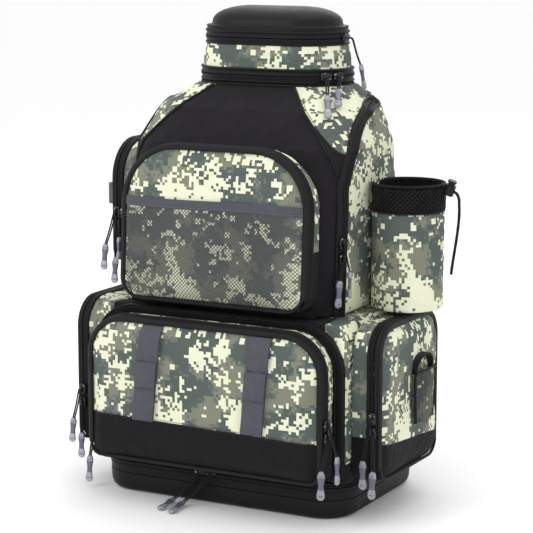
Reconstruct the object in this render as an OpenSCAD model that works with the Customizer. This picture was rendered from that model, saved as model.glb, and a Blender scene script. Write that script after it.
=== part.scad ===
// Fishing tackle backpack with a hard base tray, a lower tray compartment,
// a clamshell main compartment and a moulded case on top.
// X is across the pack, -Y is its front, +Z is up. The base rests on z = 0.

/* [Base tray] */
// Half the width of the hard base tray
base_half_w = 148; // [144:1:149]
// Half the depth of the hard base tray
base_half_d = 100; // [98:1:102]
// Height of the moulded wall of the base tray
base_h = 29.5; // [27:0.5:31]
// Corner radius of the base tray seen from above
base_r = 38; // [30:1:42]

/* [Lower compartment] */
// Half the width of the lower compartment
lower_half_w = 149; // [147:1:150]
// Height of the top of the lower compartment
lower_top = 207; // [204:1:208]
// Depth of the outer pocket on the tray door
door_pocket_d = 23; // [18:1:24]
// Half the width of the outer pocket
door_pocket_half_w = 138; // [130:1:138]

/* [Main compartment] */
// Half the width of the main compartment at its floor
main_half_w = 124.5; // [122:0.5:126]
// Height of the flat top that carries the case
main_top = 438; // [434:1:440]
// Depth at which the main zip crosses the shoulder
zip_shoulder_y = -34; // [-38:1:-30]

/* [Top case] */
// Radius of the round ends of the top case
case_r = 52; // [48:1:54]
// Distance of each end arc's centre from the middle
case_half_len = 32; // [28:1:34]
// Height of the zip line between the pack and the case
case_zip_z = 448.8; // [448:0.1:450]
// Height of the zip line between the case and its dome
dome_zip_z = 487.8; // [486:0.1:489]
// Height of the top of the dome
dome_top = 520; // [514:1:524]

/* [Side pockets] */
// How far a lower side pocket stands out, zip line
side_pocket_d = 26; // [22:1:28]
// How far the upper side pocket stands out, zip line
upper_side_d = 24; // [20:1:26]

/* [Bottle sleeve] */
// Outer radius of the bottle sleeve
bottle_r = 37.8; // [36:0.2:38]
// Top of the woven part of the sleeve
bottle_seam_z = 313; // [305:1:318]
// Top of the mesh collar
bottle_rim_z = 341; // [335:1:345]

/* [Hidden] */

wall = 3;            // padded fabric wall
gap = 0.4;           // open line between two zipped halves
tape = 1.2;          // zip tape thickness
tape_w = 7;          // visible width of one zip tape
ridge = 1.2;         // height of the closed coil above the tape
ridge_w = 1.6;       // half width of the coil
rim = 5;             // edge thickness of a zipped flap
crown = 3;           // how far a flap's middle swells past its edge
front_y = -98;       // front plane of the lower compartment
back_y = 100;        // back plane of the pack
base_zip_z = 34.8;   // zip line of the base tray
case_y = 38;         // middle of the top case, front to back
bottle = [165, 18];  // axis of the bottle sleeve
panel_y = -86;       // foot of the front panel, and of the pocket on it
panel_z = 212;
pocket_lean = 3.5;   // the upper pocket leans back with the panel behind it
black = "#1b1a1c";
camo = "#7d8674";
grey = "#55586a";
clear_grey = "#8d90a3";
$fn = 40;

// [u0, u1, v0, v1, top radius, bottom radius, zip line depth]
door_edge = [-144, 144, 43.5, 203.4, 46, 14];
door_pocket = [-door_pocket_half_w, door_pocket_half_w, 45, 199.5, 42, 14, door_pocket_d];
upper_pocket = [-109, 109, 3, 168, 62, 22, 19];
side_pocket = [-84, 62, 42, 204, 30, 20, side_pocket_d];
upper_side_x = 128;   // where the upper side pocket leaves the pack's side
upper_side = [-46, 60, 240, 374, 42, 16, upper_side_d];

// Sections of the main compartment: height, half width, front, back, corner radius
main_sections = [
    [lower_top, main_half_w, -86, 100, 44],
    [320, main_half_w + 3.5, -82, 100, 42],
    [378, main_half_w + 2.5, -72, 98, 46],
    [415, main_half_w - 6.5, -45, 94, 52],
    [main_top, 88, -14, 90, 45]];

// Where the main zip runs, seen from the side: depth and height
main_zip = [[-58, 200], [-57, 325], [-50, 352], [zip_shoulder_y, 380], [-10, 402],
    [20, 416], [56, 422], [130, 424]];

function grown(p, g) = [p[0] - g, p[1] + g, p[2] - g, p[3] + g, p[4] + g, p[5] + g, p[6]];

// A rounded rectangle from [u0, u1, v0, v1, top radius, bottom radius]
module pane(p) {
    hull() {
        for (s = [p[0] + p[4], p[1] - p[4]]) translate([s, p[3] - p[4]]) circle(p[4]);
        for (s = [p[0] + p[5], p[1] - p[5]]) translate([s, p[2] + p[5]]) circle(p[5]);
    }
}

// An outline seen from above, with its own corner radius at the front and at the back
module plan(half_w, y0, y1, r, back_r) {
    hull() for (s = [-1, 1]) {
        translate([s * (half_w - r), y0 + r]) circle(r);
        translate([s * (half_w - back_r), y1 - back_r]) circle(back_r);
    }
}

module slab(half_w, y0, y1, r, z0, z1, back_r = 0) {
    translate([0, 0, z0]) linear_extrude(z1 - z0) plan(half_w, y0, y1, r, back_r > 0 ? back_r : r);
}

// Local u, v and outward depth, set on the front, the right or the left of the pack
module on_front(y) { translate([0, y, 0]) rotate([90, 0, 0]) children(); }
module on_right(x) { translate([x, 0, 0]) rotate([90, 0, 90]) children(); }
module on_left(x) { mirror([1, 0, 0]) on_right(x) children(); }
module on_panel() {
    translate([0, panel_y, panel_z]) rotate([-pocket_lean, 0, 0]) rotate([90, 0, 0]) children();
}

// A solid bar of round section from a to b
module rod(a, b, r) {
    d = b - a;
    translate(a) rotate([0, acos(d[2] / norm(d)), atan2(d[1], d[0])]) cylinder(r = r, h = norm(d), $fn = 16);
}

module gusset(p, from, to, thick = 2.5) {
    translate([0, 0, from]) linear_extrude(to - from) difference() {
        pane(p);
        pane(grown(p, -thick));
    }
}

// A band round the outside of a pocket's edge, open along the bottom where the fabric folds
module edge_band(p, from, to, inner, outer) {
    translate([0, 0, from]) linear_extrude(to - from) difference() {
        pane(grown(p, outer));
        pane(grown(p, inner));
        translate([p[0] - 20, p[2] - 20]) square([p[1] - p[0] + 40, 34]);
    }
}

module inner_tape(p) {
    edge_band(p, p[6] - tape_w, p[6], 0, tape);
    edge_band(p, p[6] - ridge_w, p[6], tape, tape + ridge);
}

module outer_tape(p) {
    edge_band(p, p[6] + gap, p[6] + gap + rim, 0, tape);
    edge_band(p, p[6] + gap, p[6] + gap + ridge_w, tape, tape + ridge);
}

// A flap that closes a pocket: an even edge and a softly crowned face
module flap_plate(p, swell = crown) {
    translate([0, 0, p[6] + gap]) hull() {
        linear_extrude(rim) pane(p);
        translate([0, 0, rim + swell - 0.5]) linear_extrude(0.5) pane(grown(p, -9));
    }
}

function section_z(s, grow) = s[0] == lower_top ? s[0] + min(grow, 0)
    : s[0] == main_top ? s[0] + grow - 0.5 : s[0];

module main_solid(grow) {
    hull() for (s = main_sections)
        slab(s[1] + grow, s[2] - grow, s[3] + grow, s[4] + grow, section_z(s, grow), section_z(s, grow) + 0.5);
}

// The half space in front of the main zip, seen from the side and carried across the pack
module ahead_of_zip(shift, band = 0) {
    path = [for (p = main_zip) [p[0] + shift * 0.9, p[1] - shift * 0.8]];
    back = [for (i = [len(path) - 1:-1:0]) [path[i][0] - band * 0.9, path[i][1] + band * 0.8]];
    rotate([90, 0, 90]) translate([0, 0, -200]) linear_extrude(400)
        polygon(concat(path, band > 0 ? back : [[130, 500], [-200, 500], [-200, 200]]));
}

// One zip slider seen from outside: plate, bail and, on a standing coil, the flange on the
// side it rides with. z is outward and y runs along the zip.
module slider_body(flange = true) {
    translate([-4.5, -6, 0]) cube([9, 12, 2]);
    if (flange) translate([-4.5, -6, -1.2]) cube([1.2, 12, 1.2]);
    translate([0, 0, 2]) rotate([90, 0, 0]) difference() {
        cylinder(r = 2.6, h = 3, center = true);
        cylinder(r = 1.3, h = 4, center = true);
        translate([-3, -6, -3]) cube([6, 6, 6]);
    }
}

// A puller from its slider: cord from a to b, then a moulded grip to c, turned about itself
module puller(a, b, c, turn = 0) {
    rod(a, b, 1.5);
    d = c - b;
    translate(b) rotate([0, acos(d[2] / norm(d)), atan2(d[1], d[0])]) rotate([0, 0, turn]) {
        translate([-4.2, -2, 0]) cube([8.4, 4, norm(d) - 4]);
        translate([0, 0, norm(d) - 4]) rotate([90, 0, 0]) cylinder(r = 4.2, h = 4, center = true);
    }
}

module base_tray() {
    color(black) difference() {
        hull() {
            slab(base_half_w - 14, 14 - base_half_d, base_half_d - 14, base_r - 12, 0, 1);
            slab(base_half_w - 4, 4 - base_half_d, base_half_d - 4, base_r - 4, 6, 7);
            slab(base_half_w, -base_half_d, base_half_d, base_r, 16, base_h);
        }
        hull() {
            slab(base_half_w - 18, 18 - base_half_d, base_half_d - 18, base_r - 16, 4, 5);
            slab(base_half_w - 4, 4 - base_half_d, base_half_d - 4, base_r - 4, 17, base_h + 1);
        }
    }
}

// A band that follows the base outline on three sides, open at the back where the tray folds
module base_band(z0, z1, inner, outer) {
    translate([0, 0, z0]) linear_extrude(z1 - z0) difference() {
        plan(base_half_w + outer, -base_half_d - outer, base_half_d + outer, base_r + outer, base_r + outer);
        plan(base_half_w + inner, -base_half_d - inner, base_half_d + inner, base_r + inner, base_r + inner);
        translate([-200, 66]) square([400, 60]);
    }
}

module base_zip_tape() {
    color(black) {
        base_band(base_h, base_zip_z - gap / 2, -4, 0);
        base_band(base_zip_z - gap / 2 - ridge_w, base_zip_z - gap / 2, 0, ridge);
    }
}

module base_slider(side) {
    x = -12 + side * 6.5;
    y = -base_half_d - ridge - 0.4;
    translate([x, y, base_zip_z + 1]) rotate([90, 0, 0]) rotate([0, 0, 90]) slider_body();
}

module base_slider_left() {
    color(black) {
        base_slider(-1);
        puller([-18.5, -106, 34], [-44, -114, 4.5], [-42, -147, 2.4], 90);
    }
}

module base_slider_right() {
    color(black) {
        base_slider(1);
        puller([-5.5, -106, 34], [-29, -119, 4.5], [-26, -152, 2.4], 90);
    }
}

module lower_shell() {
    floor_z = base_zip_z + 6;
    color(camo) difference() {
        hull() {
            slab(lower_half_w, front_y, back_y, 8, floor_z, 190, 24);
            slab(lower_half_w - 6, front_y, back_y, 8, lower_top - 1, lower_top, 24);
        }
        hull() {
            slab(lower_half_w - wall, front_y + wall, back_y - wall, 5, floor_z + wall, 188, 21);
            slab(lower_half_w - wall - 6, front_y + wall, back_y - wall, 5, lower_top - 4, lower_top - 3, 21);
        }
        on_front(front_y + 10) linear_extrude(20) pane([-130, 130, 52, 194, 34, 8]);
    }
}

module tray_door() {
    color(black) on_front(front_y - gap) linear_extrude(2.6)
        pane(door_edge);
}

module door_pocket_gusset() {
    color(camo) on_front(front_y - gap - 2.6) gusset(door_pocket, 0, door_pocket_d);
}

module door_zip_tapes() {
    color(black) {
        on_front(front_y - gap - 2.6) inner_tape(door_pocket);
        on_front(front_y - gap) edge_band(door_edge, 2.6, 3.8, -ridge_w, 0);
    }
}

module front_flap() {
    color(camo) on_front(front_y - gap - 2.6) flap_plate(door_pocket);
}

// Two grey webbing straps with a raised keeper on each
module webbing_straps() {
    face = front_y - 2 * gap - 2.6 - door_pocket_d - rim - crown;
    color(grey) for (x = [-68, 62]) {
        translate([x - 12.5, face - 1.6, 92]) cube([25, 1.6, 92]);
        translate([x - 12.5, face - 4.2, 126]) cube([25, 1.4, 26]);
        for (z = [126, 150]) translate([x - 12.5, face - 4.2, z]) cube([25, 2.6, 2]);
    }
}

module flap_zip_tape() { color(black) on_front(front_y - gap - 2.6) outer_tape(door_pocket); }

// A slider on the right or left outer face of a front pocket's zip
module edge_slider(x, y, z, side) {
    translate([x, y, z]) rotate([0, side * 90, 0]) rotate([0, 0, 90]) slider_body();
}

flap_zip_y = front_y - gap - 2.6 - door_pocket_d;
flap_slider_x = door_pocket_half_w + tape + ridge + 0.4;

module flap_slider_upper() {
    color(black) {
        edge_slider(flap_slider_x, flap_zip_y, 109, 1);
        puller([144.4, flap_zip_y - 0.5, 108.5], [154, flap_zip_y - 1, 78], [154.2, flap_zip_y - 1, 49], 90);
    }
}

module flap_slider_lower() {
    color(black) {
        edge_slider(flap_slider_x, flap_zip_y, 95, 1);
        puller([144.4, flap_zip_y - 1, 94.5], [141.6, flap_zip_y - 12, 64], [141, flap_zip_y - 12.2, 34]);
    }
}

module door_slider() {
    color(black) {
        translate([-144.2, front_y - 4.6, 96]) rotate([90, 0, 0]) rotate([0, 0, 180]) slider_body();
        puller([-146, front_y - 8, 92], [-154.4, front_y - 8, 36], [-156.4, front_y - 8, 6]);
    }
}

module rear_shell() {
    color(camo) difference() {
        main_solid(0);
        main_solid(-wall);
        ahead_of_zip(gap / 2);
    }
}

module divider_shelf() {
    color(black) slab(main_half_w - 5, -78, 94, 38, lower_top, lower_top + 3.6);
}

module frame_sheet() {
    color("#e4e2da") slab_on_back(88, 56, 388, 14, 0, 1.9);
}

module slab_on_back(half_w, z0, z1, r, y0, y1) {
    translate([0, back_y, 0]) mirror([0, 1, 0]) on_front(0) translate([0, 0, y0])
        linear_extrude(y1 - y0) pane([-half_w, half_w, z0, z1, r, r]);
}

module pack_zip_tapes() {
    color(black) {
        base_band(base_zip_z + gap / 2, base_zip_z + 6, -4, 0);
        base_band(base_zip_z + gap / 2, base_zip_z + gap / 2 + ridge_w, 0, ridge);
        on_front(front_y) edge_band(door_edge, 0, 3, gap, 3.6);
        on_front(front_y) edge_band(door_edge, 3, 4.2, gap, gap + ridge_w);
        on_right(lower_half_w) inner_tape(side_pocket);
        on_left(lower_half_w) inner_tape(side_pocket);
        on_left(upper_side_x) inner_tape(upper_side);
        intersection() {
            difference() {
                main_solid(tape);
                main_solid(0);
            }
            ahead_of_zip(tape_w + gap / 2, tape_w);
        }
    }
}

module front_panel() {
    color(black) {
        difference() {
            main_solid(0);
            main_solid(-wall);
            difference() {
                translate([-200, -200, 150]) cube([400, 400, 400]);
                ahead_of_zip(-gap / 2);
            }
            translate([0, 0, main_top - 12]) linear_extrude(30) case_outline(-14);
            translate([-200, -200, lower_top - 1]) cube([400, 400, 1.6]);
        }
        case_ring(main_top, case_zip_z - gap / 2, 0, wall);
    }
}

// The stadium outline of the top case, grown or shrunk
module case_outline(grow) {
    hull() {
        for (x = [-case_half_len, case_half_len]) translate([x, case_y]) circle(case_r + grow);
    }
}

module case_ring(z0, z1, grow, thick) {
    translate([0, 0, z0]) linear_extrude(z1 - z0) difference() {
        case_outline(grow);
        case_outline(grow - thick);
    }
}

// A zip band of the top case, open at the back where the lid folds
module case_band(z0, z1, inner, outer) {
    translate([0, 0, z0]) linear_extrude(z1 - z0) difference() {
        case_outline(outer);
        case_outline(inner);
        translate([-150, case_y + case_r - 12]) square([300, 40]);
    }
}

module upper_pocket_gusset() {
    color(camo) difference() {
        on_panel() gusset(upper_pocket, -12, upper_pocket[6]);
        main_solid(0);
    }
}

module front_zip_tapes() {
    color(black) {
        on_panel() inner_tape(upper_pocket);
        case_band(case_zip_z - gap / 2 - tape_w, case_zip_z - gap / 2, 0, tape);
        case_band(case_zip_z - gap / 2 - ridge_w, case_zip_z - gap / 2, tape, tape + ridge);
        intersection() {
            difference() {
                main_solid(tape);
                main_solid(0);
                translate([-200, -200, lower_top - 1]) cube([400, 400, 1.6]);
            }
            ahead_of_zip(-gap / 2, tape_w);
        }
    }
}

// A slider on the rounded front edge of the main compartment's right side
module main_slider(z) {
    translate([main_half_w + 0.9, -58, z]) rotate([0, 0, -22]) rotate([90, 0, 90]) slider_body(false);
}

module main_slider_upper() {
    color(black) {
        main_slider(284);
        puller([128.9, -59.4, 283.5], [135, -58.5, 256], [134, -57, 228]);
    }
}

module main_slider_lower() {
    color(black) {
        main_slider(268);
        puller([128.9, -59.6, 267.5], [128, -68, 247], [127, -70, 219]);
    }
}

module upper_flap() { color(camo) on_panel() flap_plate(upper_pocket, 2); }

// Mesh patch pocket with a bound top edge, on the upper flap
module mesh_pocket() {
    face = upper_pocket[6] + gap + rim + 2;
    color(grey) on_panel() difference() {
        union() {
            translate([0, 0, face]) linear_extrude(0.8) intersection() {
                pane(grown(upper_pocket, -9));
                translate([-120, 0]) square([240, 112]);
            }
            translate([0, 0, face]) linear_extrude(1.8) intersection() {
                pane(grown(upper_pocket, -9));
                translate([-120, 103]) square([240, 9]);
            }
        }
    }
}

module upper_flap_zip_tape() { color(black) on_panel() outer_tape(upper_pocket); }

module upper_pocket_slider() {
    color(black) on_panel() {
        translate([-109 - tape - ridge - 0.4, 92, upper_pocket[6]]) rotate([0, -90, 0])
            rotate([0, 0, 180]) slider_body();
        puller([-115, 89, 21], [-115, 66, 21], [-115, 42, 21]);
    }
}

module case_body() {
    color(camo) {
        case_ring(case_zip_z + gap / 2, dome_zip_z - gap / 2, 0, wall);
        translate([0, 0, 458]) linear_extrude(3) case_outline(-1);
    }
}

module case_zip_tapes() {
    color(black) {
        case_band(case_zip_z + gap / 2, case_zip_z + gap / 2 + tape_w, 0, tape);
        case_band(case_zip_z + gap / 2, case_zip_z + gap / 2 + ridge_w, tape, tape + ridge);
        case_band(dome_zip_z - gap / 2 - tape_w, dome_zip_z - gap / 2, 0, tape);
        case_band(dome_zip_z - gap / 2 - ridge_w, dome_zip_z - gap / 2, tape, tape + ridge);
    }
}

// A slider on the curved right end of the top case, turned round the arc's centre
module arc_slider(angle, z) {
    translate([case_half_len, case_y, z]) rotate([0, 0, angle])
        translate([case_r + tape + ridge + 0.4, 0, 0]) rotate([0, 90, 0]) slider_body();
}

module case_slider_front() {
    color(black) {
        arc_slider(-38, case_zip_z);
        puller([78.2, 2, 448.3], [89, -20, 431], [103, -46, 411], 90);
    }
}

module case_slider_rear() {
    color(black) {
        arc_slider(-22, case_zip_z);
        puller([86.3, 16, 448.3], [93, -3, 436], [104, -25, 421], 90);
    }
}

module case_dome() {
    color(black) difference() {
        hull() {
            translate([0, 0, dome_zip_z + gap / 2]) linear_extrude(11) case_outline(0);
            translate([0, 0, 499]) linear_extrude(6) case_outline(-5);
            translate([0, 0, 511]) linear_extrude(1) case_outline(-12);
            translate([0, 0, 516.5]) linear_extrude(1) case_outline(-22);
            translate([0, 0, dome_top - 1]) linear_extrude(1) case_outline(-36);
        }
        hull() {
            translate([0, 0, dome_zip_z - 1]) linear_extrude(12) case_outline(-wall);
            translate([0, 0, 507]) linear_extrude(1) case_outline(-14);
            translate([0, 0, dome_top - 6]) linear_extrude(1) case_outline(-30);
        }
    }
}

module dome_zip_tape() {
    color(black) {
        case_band(dome_zip_z + gap / 2, dome_zip_z + gap / 2 + tape_w, 0, tape);
        case_band(dome_zip_z + gap / 2, dome_zip_z + gap / 2 + ridge_w, tape, tape + ridge);
    }
}

module dome_slider() {
    color(black) {
        arc_slider(-2, dome_zip_z);
        puller([90.6, 36, 487.3], [99.7, 38, 460], [103, 41, 434], 90);
    }
}

module side_pocket_right() { color(camo) on_right(lower_half_w) gusset(side_pocket, 0, side_pocket_d); }
module side_pocket_left() { color(camo) on_left(lower_half_w) gusset(side_pocket, 0, side_pocket_d); }
module side_flap_right() { color(camo) on_right(lower_half_w) flap_plate(side_pocket, 2); }
module side_flap_left() { color(camo) on_left(lower_half_w) flap_plate(side_pocket, 2); }
module side_zip_tape_right() { color(black) on_right(lower_half_w) outer_tape(side_pocket); }
module side_zip_tape_left() { color(black) on_left(lower_half_w) outer_tape(side_pocket); }

side_zip_x = lower_half_w + side_pocket_d;
side_slider_y = side_pocket[0] - tape - ridge - 0.4;

module side_slider(side, z) {
    translate([side * side_zip_x, side_slider_y, z]) rotate([90, 0, 0]) rotate([0, 0, side < 0 ? 180 : 0])
        slider_body();
}

module side_slider_right_upper() {
    color(black) {
        side_slider(1, 112);
        puller([173.6, -91, 111.5], [167.5, -93.5, 68], [167.6, -93.5, 38]);
    }
}

module side_slider_right_lower() {
    color(black) {
        side_slider(1, 96.6);
        puller([176.4, -91, 96.1], [179, -93.5, 58], [177.4, -93.5, 29]);
    }
}

module side_slider_left_upper() {
    color(black) {
        side_slider(-1, 104);
        puller([-176.4, -91, 103.5], [-183.4, -93.5, 72], [-186, -93.5, 44]);
    }
}

module side_slider_left_lower() {
    color(black) {
        side_slider(-1, 89);
        puller([-174.6, -91, 88.5], [-173.4, -93.5, 56], [-174, -93.5, 28]);
    }
}

// Open-topped sheath for pliers on the right side flap, with a stay loop above it
module plier_sheath() {
    x = lower_half_w + side_pocket_d + gap + rim + 2;
    color(black) translate([x, 0, 0]) {
        difference() {
            translate([0, -19, 92]) cube([11, 50, 54]);
            translate([1.2, -17.5, 94]) cube([8.2, 47, 60]);
        }
        difference() {
            translate([0, 4, 150]) cube([5, 22, 14]);
            translate([1.2, 0, 152]) cube([2.6, 30, 10]);
        }
    }
}

module upper_side_pocket() {
    color(camo) difference() {
        on_left(upper_side_x) gusset(upper_side, -8, upper_side_d);
        main_solid(0);
    }
}

module upper_side_flap() { color(camo) on_left(upper_side_x) flap_plate(upper_side, 1.5); }
module upper_side_zip_tape() { color(black) on_left(upper_side_x) outer_tape(upper_side); }

module upper_side_zip_slider(z) {
    translate([-upper_side_x - upper_side_d, upper_side[0] - tape - ridge - 0.4, z]) rotate([90, 0, 0])
        rotate([0, 0, 180]) slider_body();
}

module upper_side_slider_upper() {
    color(black) {
        upper_side_zip_slider(297);
        puller([-152.4, -52.8, 296.5], [-162, -57, 262], [-165, -57, 233]);
    }
}

module upper_side_slider_lower() {
    color(black) {
        upper_side_zip_slider(282);
        puller([-150.6, -52.8, 281.5], [-150, -56, 247], [-152, -56, 219]);
    }
}

// Webbing loop that holds a rod upright against the upper side pocket
module rod_loop() {
    x = upper_side_x + upper_side_d + gap + rim + 1.5;
    color(grey) translate([-x, -16, 302]) linear_extrude(22) difference() {
        hull() {
            translate([-10, 0]) circle(12);
            translate([-1, -19]) square([1, 38]);
        }
        hull() {
            translate([-9, 0]) circle(10);
            translate([-2, -16]) square([1, 32]);
        }
        translate([0, -30]) square([30, 60]);
    }
}

module bottle_sleeve() {
    color(camo) translate([bottle[0], bottle[1], 0]) difference() {
        translate([0, 0, 209]) cylinder(r = bottle_r, h = bottle_seam_z - 209, $fn = 64);
        translate([0, 0, 212]) cylinder(r = bottle_r - 2.5, h = 200, $fn = 64);
        translate([-60, -60, 200]) cube([60 - bottle[0] + upper_side_x + 0.5, 120, 200]);
    }
}

module bottle_collar() {
    color(black) translate([bottle[0], bottle[1], 0]) difference() {
        union() {
            translate([0, 0, bottle_seam_z]) cylinder(r = bottle_r, h = bottle_rim_z - bottle_seam_z, $fn = 64);
            translate([0, 0, bottle_rim_z - 7]) cylinder(r = bottle_r + 0.6, h = 7, $fn = 64);
        }
        translate([0, 0, 300]) cylinder(r = bottle_r - 1.8, h = 60, $fn = 64);
        translate([-60, -60, 200]) cube([60 - bottle[0] + upper_side_x + 0.5, 120, 200]);
    }
}

// Spring cord lock on the free side of the collar: barrel with a cord hole through it
lock_at = [bottle[0] + bottle_r + 8, bottle[1] + 2, 336];

module cord_lock() {
    color(black) translate(lock_at) rotate([0, 20, 0]) difference() {
        cylinder(r = 5.5, h = 11, center = true);
        translate([0, 0, 1]) cylinder(r = 3.9, h = 6, $fn = 32);
    }
}

module cord_lock_button() {
    color(black) translate(lock_at) rotate([0, 20, 0]) {
        translate([0, 0, 4]) cylinder(r = 3.6, h = 6);
        translate([0, 0, 8]) cylinder(r = 4.6, h = 2.4);
    }
}

// Free end of the drawcord: leaves the lock sideways, arches over and hangs
cord_d = 3.2;
tail_route = [[216, 20, 334.1], [218.6, 19.9, 332.7], [220.6, 19.7, 330], [221.9, 19.4, 326],
    [222.2, 19, 321], [222.6, 18.6, 315], [222.6, 18.2, 308], [222.2, 17.8, 301], [221.6, 17.4, 294],
    [220.8, 17.1, 287], [219.9, 16.8, 280], [218.9, 16.6, 273], [217.9, 16.4, 266], [216.9, 16.3, 259],
    [216, 16.2, 252], [215.6, 16.2, 248]];

function ring_at(i, route, r, n) = let (
        a = route[max(i - 1, 0)], b = route[min(i + 1, len(route) - 1)],
        t = (b - a) / norm(b - a), s = cross(t, [0, 1, 0]) / norm(cross(t, [0, 1, 0])), w = cross(t, s))
    [for (k = [0:n - 1]) route[i] + r * (cos(360 * k / n) * s + sin(360 * k / n) * w)];

module swept(route, r, n = 8) {
    m = len(route);
    points = [for (i = [m - 1:-1:0]) each ring_at(i, route, r, n)];
    sides = [for (i = [0:m - 2], k = [0:n - 1])
        [i * n + k, i * n + (k + 1) % n, (i + 1) * n + (k + 1) % n, (i + 1) * n + k]];
    caps = [[for (k = [n - 1:-1:0]) k], [for (k = [0:n - 1]) (m - 1) * n + k]];
    polyhedron(points, concat(sides, caps));
}

module drawcord_tail() { color(black) swept(tail_route, cord_d / 2); }

module back_pad() {
    color(black) {
        for (s = [-1, 1]) translate([s * 55, 0, 0]) slab_on_back(42, 150, 385, 20, 2, 16);
        slab_on_back(72, 62, 138, 22, 2, 20);
    }
}

// Padded straps that stand off the back so that an arm passes through
strap_route = [[44, 105, 399, 22], [46, 116, 402, 25], [50, 134, 385, 29], [58, 146, 340, 32],
    [70, 148, 280, 32], [80, 140, 220, 28], [86, 126, 170, 22]];

module shoulder_straps() {
    color(black) for (s = [-1, 1], i = [0:len(strap_route) - 2]) hull() {
        for (q = [strap_route[i], strap_route[i + 1]])
            translate([s * q[0] - q[3], q[1], q[2]]) rotate([0, 90, 0]) cylinder(r = 5, h = 2 * q[3], $fn = 12);
    }
}

// Ladder-lock buckle at the foot of each strap, with the webbing down to the base
module ladder_locks() {
    color(black) for (s = [-1, 1]) {
        translate([s * 88, 123, 152]) difference() {
            cube([34, 4, 26], center = true);
            for (z = [-7, 4]) translate([0, 0, z]) cube([26, 6, 3.8], center = true);
        }
        hull() {
            translate([s * 88 - 12.5, 122.2, 138]) cube([25, 1.6, 1]);
            translate([s * 112 - 12.5, back_y, 60]) cube([25, 1.6, 1]);
        }
    }
}

module carry_handle() {
    color(black) translate([0, 98.4, 408]) rotate([90, 0, 0]) linear_extrude(6, center = true) difference() {
        hull() {
            for (x = [-34, 34]) translate([x, 18]) circle(16);
            translate([-50, 0]) square([100, 6]);
        }
        hull() {
            for (x = [-32, 32]) translate([x, 16]) circle(10);
            translate([-42, 4]) square([84, 4]);
        }
    }
}

base_tray();
base_slider_left();
base_slider_right();
lower_shell();
tray_door();
door_pocket_gusset();
door_zip_tapes();
door_slider();
front_flap();
webbing_straps();
flap_zip_tape();
flap_slider_upper();
flap_slider_lower();
rear_shell();
divider_shelf();
frame_sheet();
pack_zip_tapes();
base_zip_tape();
front_panel();
upper_pocket_gusset();
front_zip_tapes();
main_slider_upper();
main_slider_lower();
upper_flap();
mesh_pocket();
upper_flap_zip_tape();
upper_pocket_slider();
case_body();
case_zip_tapes();
case_slider_front();
case_slider_rear();
case_dome();
dome_zip_tape();
dome_slider();
side_pocket_right();
side_flap_right();
side_zip_tape_right();
side_slider_right_upper();
side_slider_right_lower();
plier_sheath();
side_pocket_left();
side_flap_left();
side_zip_tape_left();
side_slider_left_upper();
side_slider_left_lower();
upper_side_pocket();
upper_side_flap();
upper_side_zip_tape();
upper_side_slider_upper();
upper_side_slider_lower();
rod_loop();
bottle_sleeve();
bottle_collar();
cord_lock();
cord_lock_button();
drawcord_tail();
back_pad();
shoulder_straps();
ladder_locks();
carry_handle();
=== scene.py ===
"""The tackle backpack's looks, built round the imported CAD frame.

Lengths are in millimetres, apart from the studio's. x runs to the pack's right, y to its back and z up.
"""

import math

import bmesh
import bpy
import numpy as np
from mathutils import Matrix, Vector
from mathutils.bvhtree import BVHTree


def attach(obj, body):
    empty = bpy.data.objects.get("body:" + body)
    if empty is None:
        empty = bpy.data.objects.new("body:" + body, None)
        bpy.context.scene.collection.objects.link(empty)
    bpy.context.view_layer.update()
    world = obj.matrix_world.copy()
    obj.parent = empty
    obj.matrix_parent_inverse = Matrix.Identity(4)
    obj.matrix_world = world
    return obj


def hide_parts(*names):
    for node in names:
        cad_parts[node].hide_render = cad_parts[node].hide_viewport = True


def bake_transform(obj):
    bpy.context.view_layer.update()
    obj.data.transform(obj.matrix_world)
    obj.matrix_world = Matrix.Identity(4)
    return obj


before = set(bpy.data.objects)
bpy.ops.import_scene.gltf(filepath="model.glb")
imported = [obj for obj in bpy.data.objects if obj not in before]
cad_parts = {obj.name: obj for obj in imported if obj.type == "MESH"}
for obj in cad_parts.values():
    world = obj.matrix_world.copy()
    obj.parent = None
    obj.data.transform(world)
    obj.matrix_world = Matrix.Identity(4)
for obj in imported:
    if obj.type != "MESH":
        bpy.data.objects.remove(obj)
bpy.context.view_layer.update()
scene = bpy.context.scene
MM = 0.001  # metres in a millimetre
SHARP_EDGE = 0.9  # radians between two faces, above which their edge stays sharp
RAY_START = 120 * MM  # how far before a point the ray through it starts
CLOTH_FRAMES = 20  # frames that a cloth simulation runs
ASIDE, UP, AHEAD = np.array([1.0, 0, 0]), np.array([0, 0, 1.0]), np.array([0, -1.0, 0])
LEAN = math.radians(3.5)  # the upper pocket and its flap lean back

# ---------------------------------------------------------------- camera, light and floor

# Camera, lights and floor are in metres
CAMERA_AT = Vector((1.006, -1.879, 0.617))
CAMERA_AZIMUTH, CAMERA_ELEVATION = math.radians(28), math.radians(10)
LIT_POINT = Vector((0, 0, 0.26))


def aimed(name, data, place, way):
    """An object with this data, set at a place and pointed along way."""
    made = bpy.data.objects.new(name, data)
    scene.collection.objects.link(made)
    made.location = place
    made.rotation_mode = "QUATERNION"
    made.rotation_quaternion = way.to_track_quat("-Z", "Y")
    return made


def make_camera():
    data = bpy.data.cameras.new("camera")
    data.lens = 135
    back = Vector((math.sin(CAMERA_AZIMUTH) * math.cos(CAMERA_ELEVATION),
                   -math.cos(CAMERA_AZIMUTH) * math.cos(CAMERA_ELEVATION), math.sin(CAMERA_ELEVATION)))
    scene.camera = aimed("camera", data, CAMERA_AT, -back)


def make_light(name, place, size, power):
    data = bpy.data.lights.new(name, "AREA")
    data.shape = "DISK"
    data.size = size
    data.energy = power
    aimed(name, data, place, LIT_POINT - Vector(place))


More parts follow.
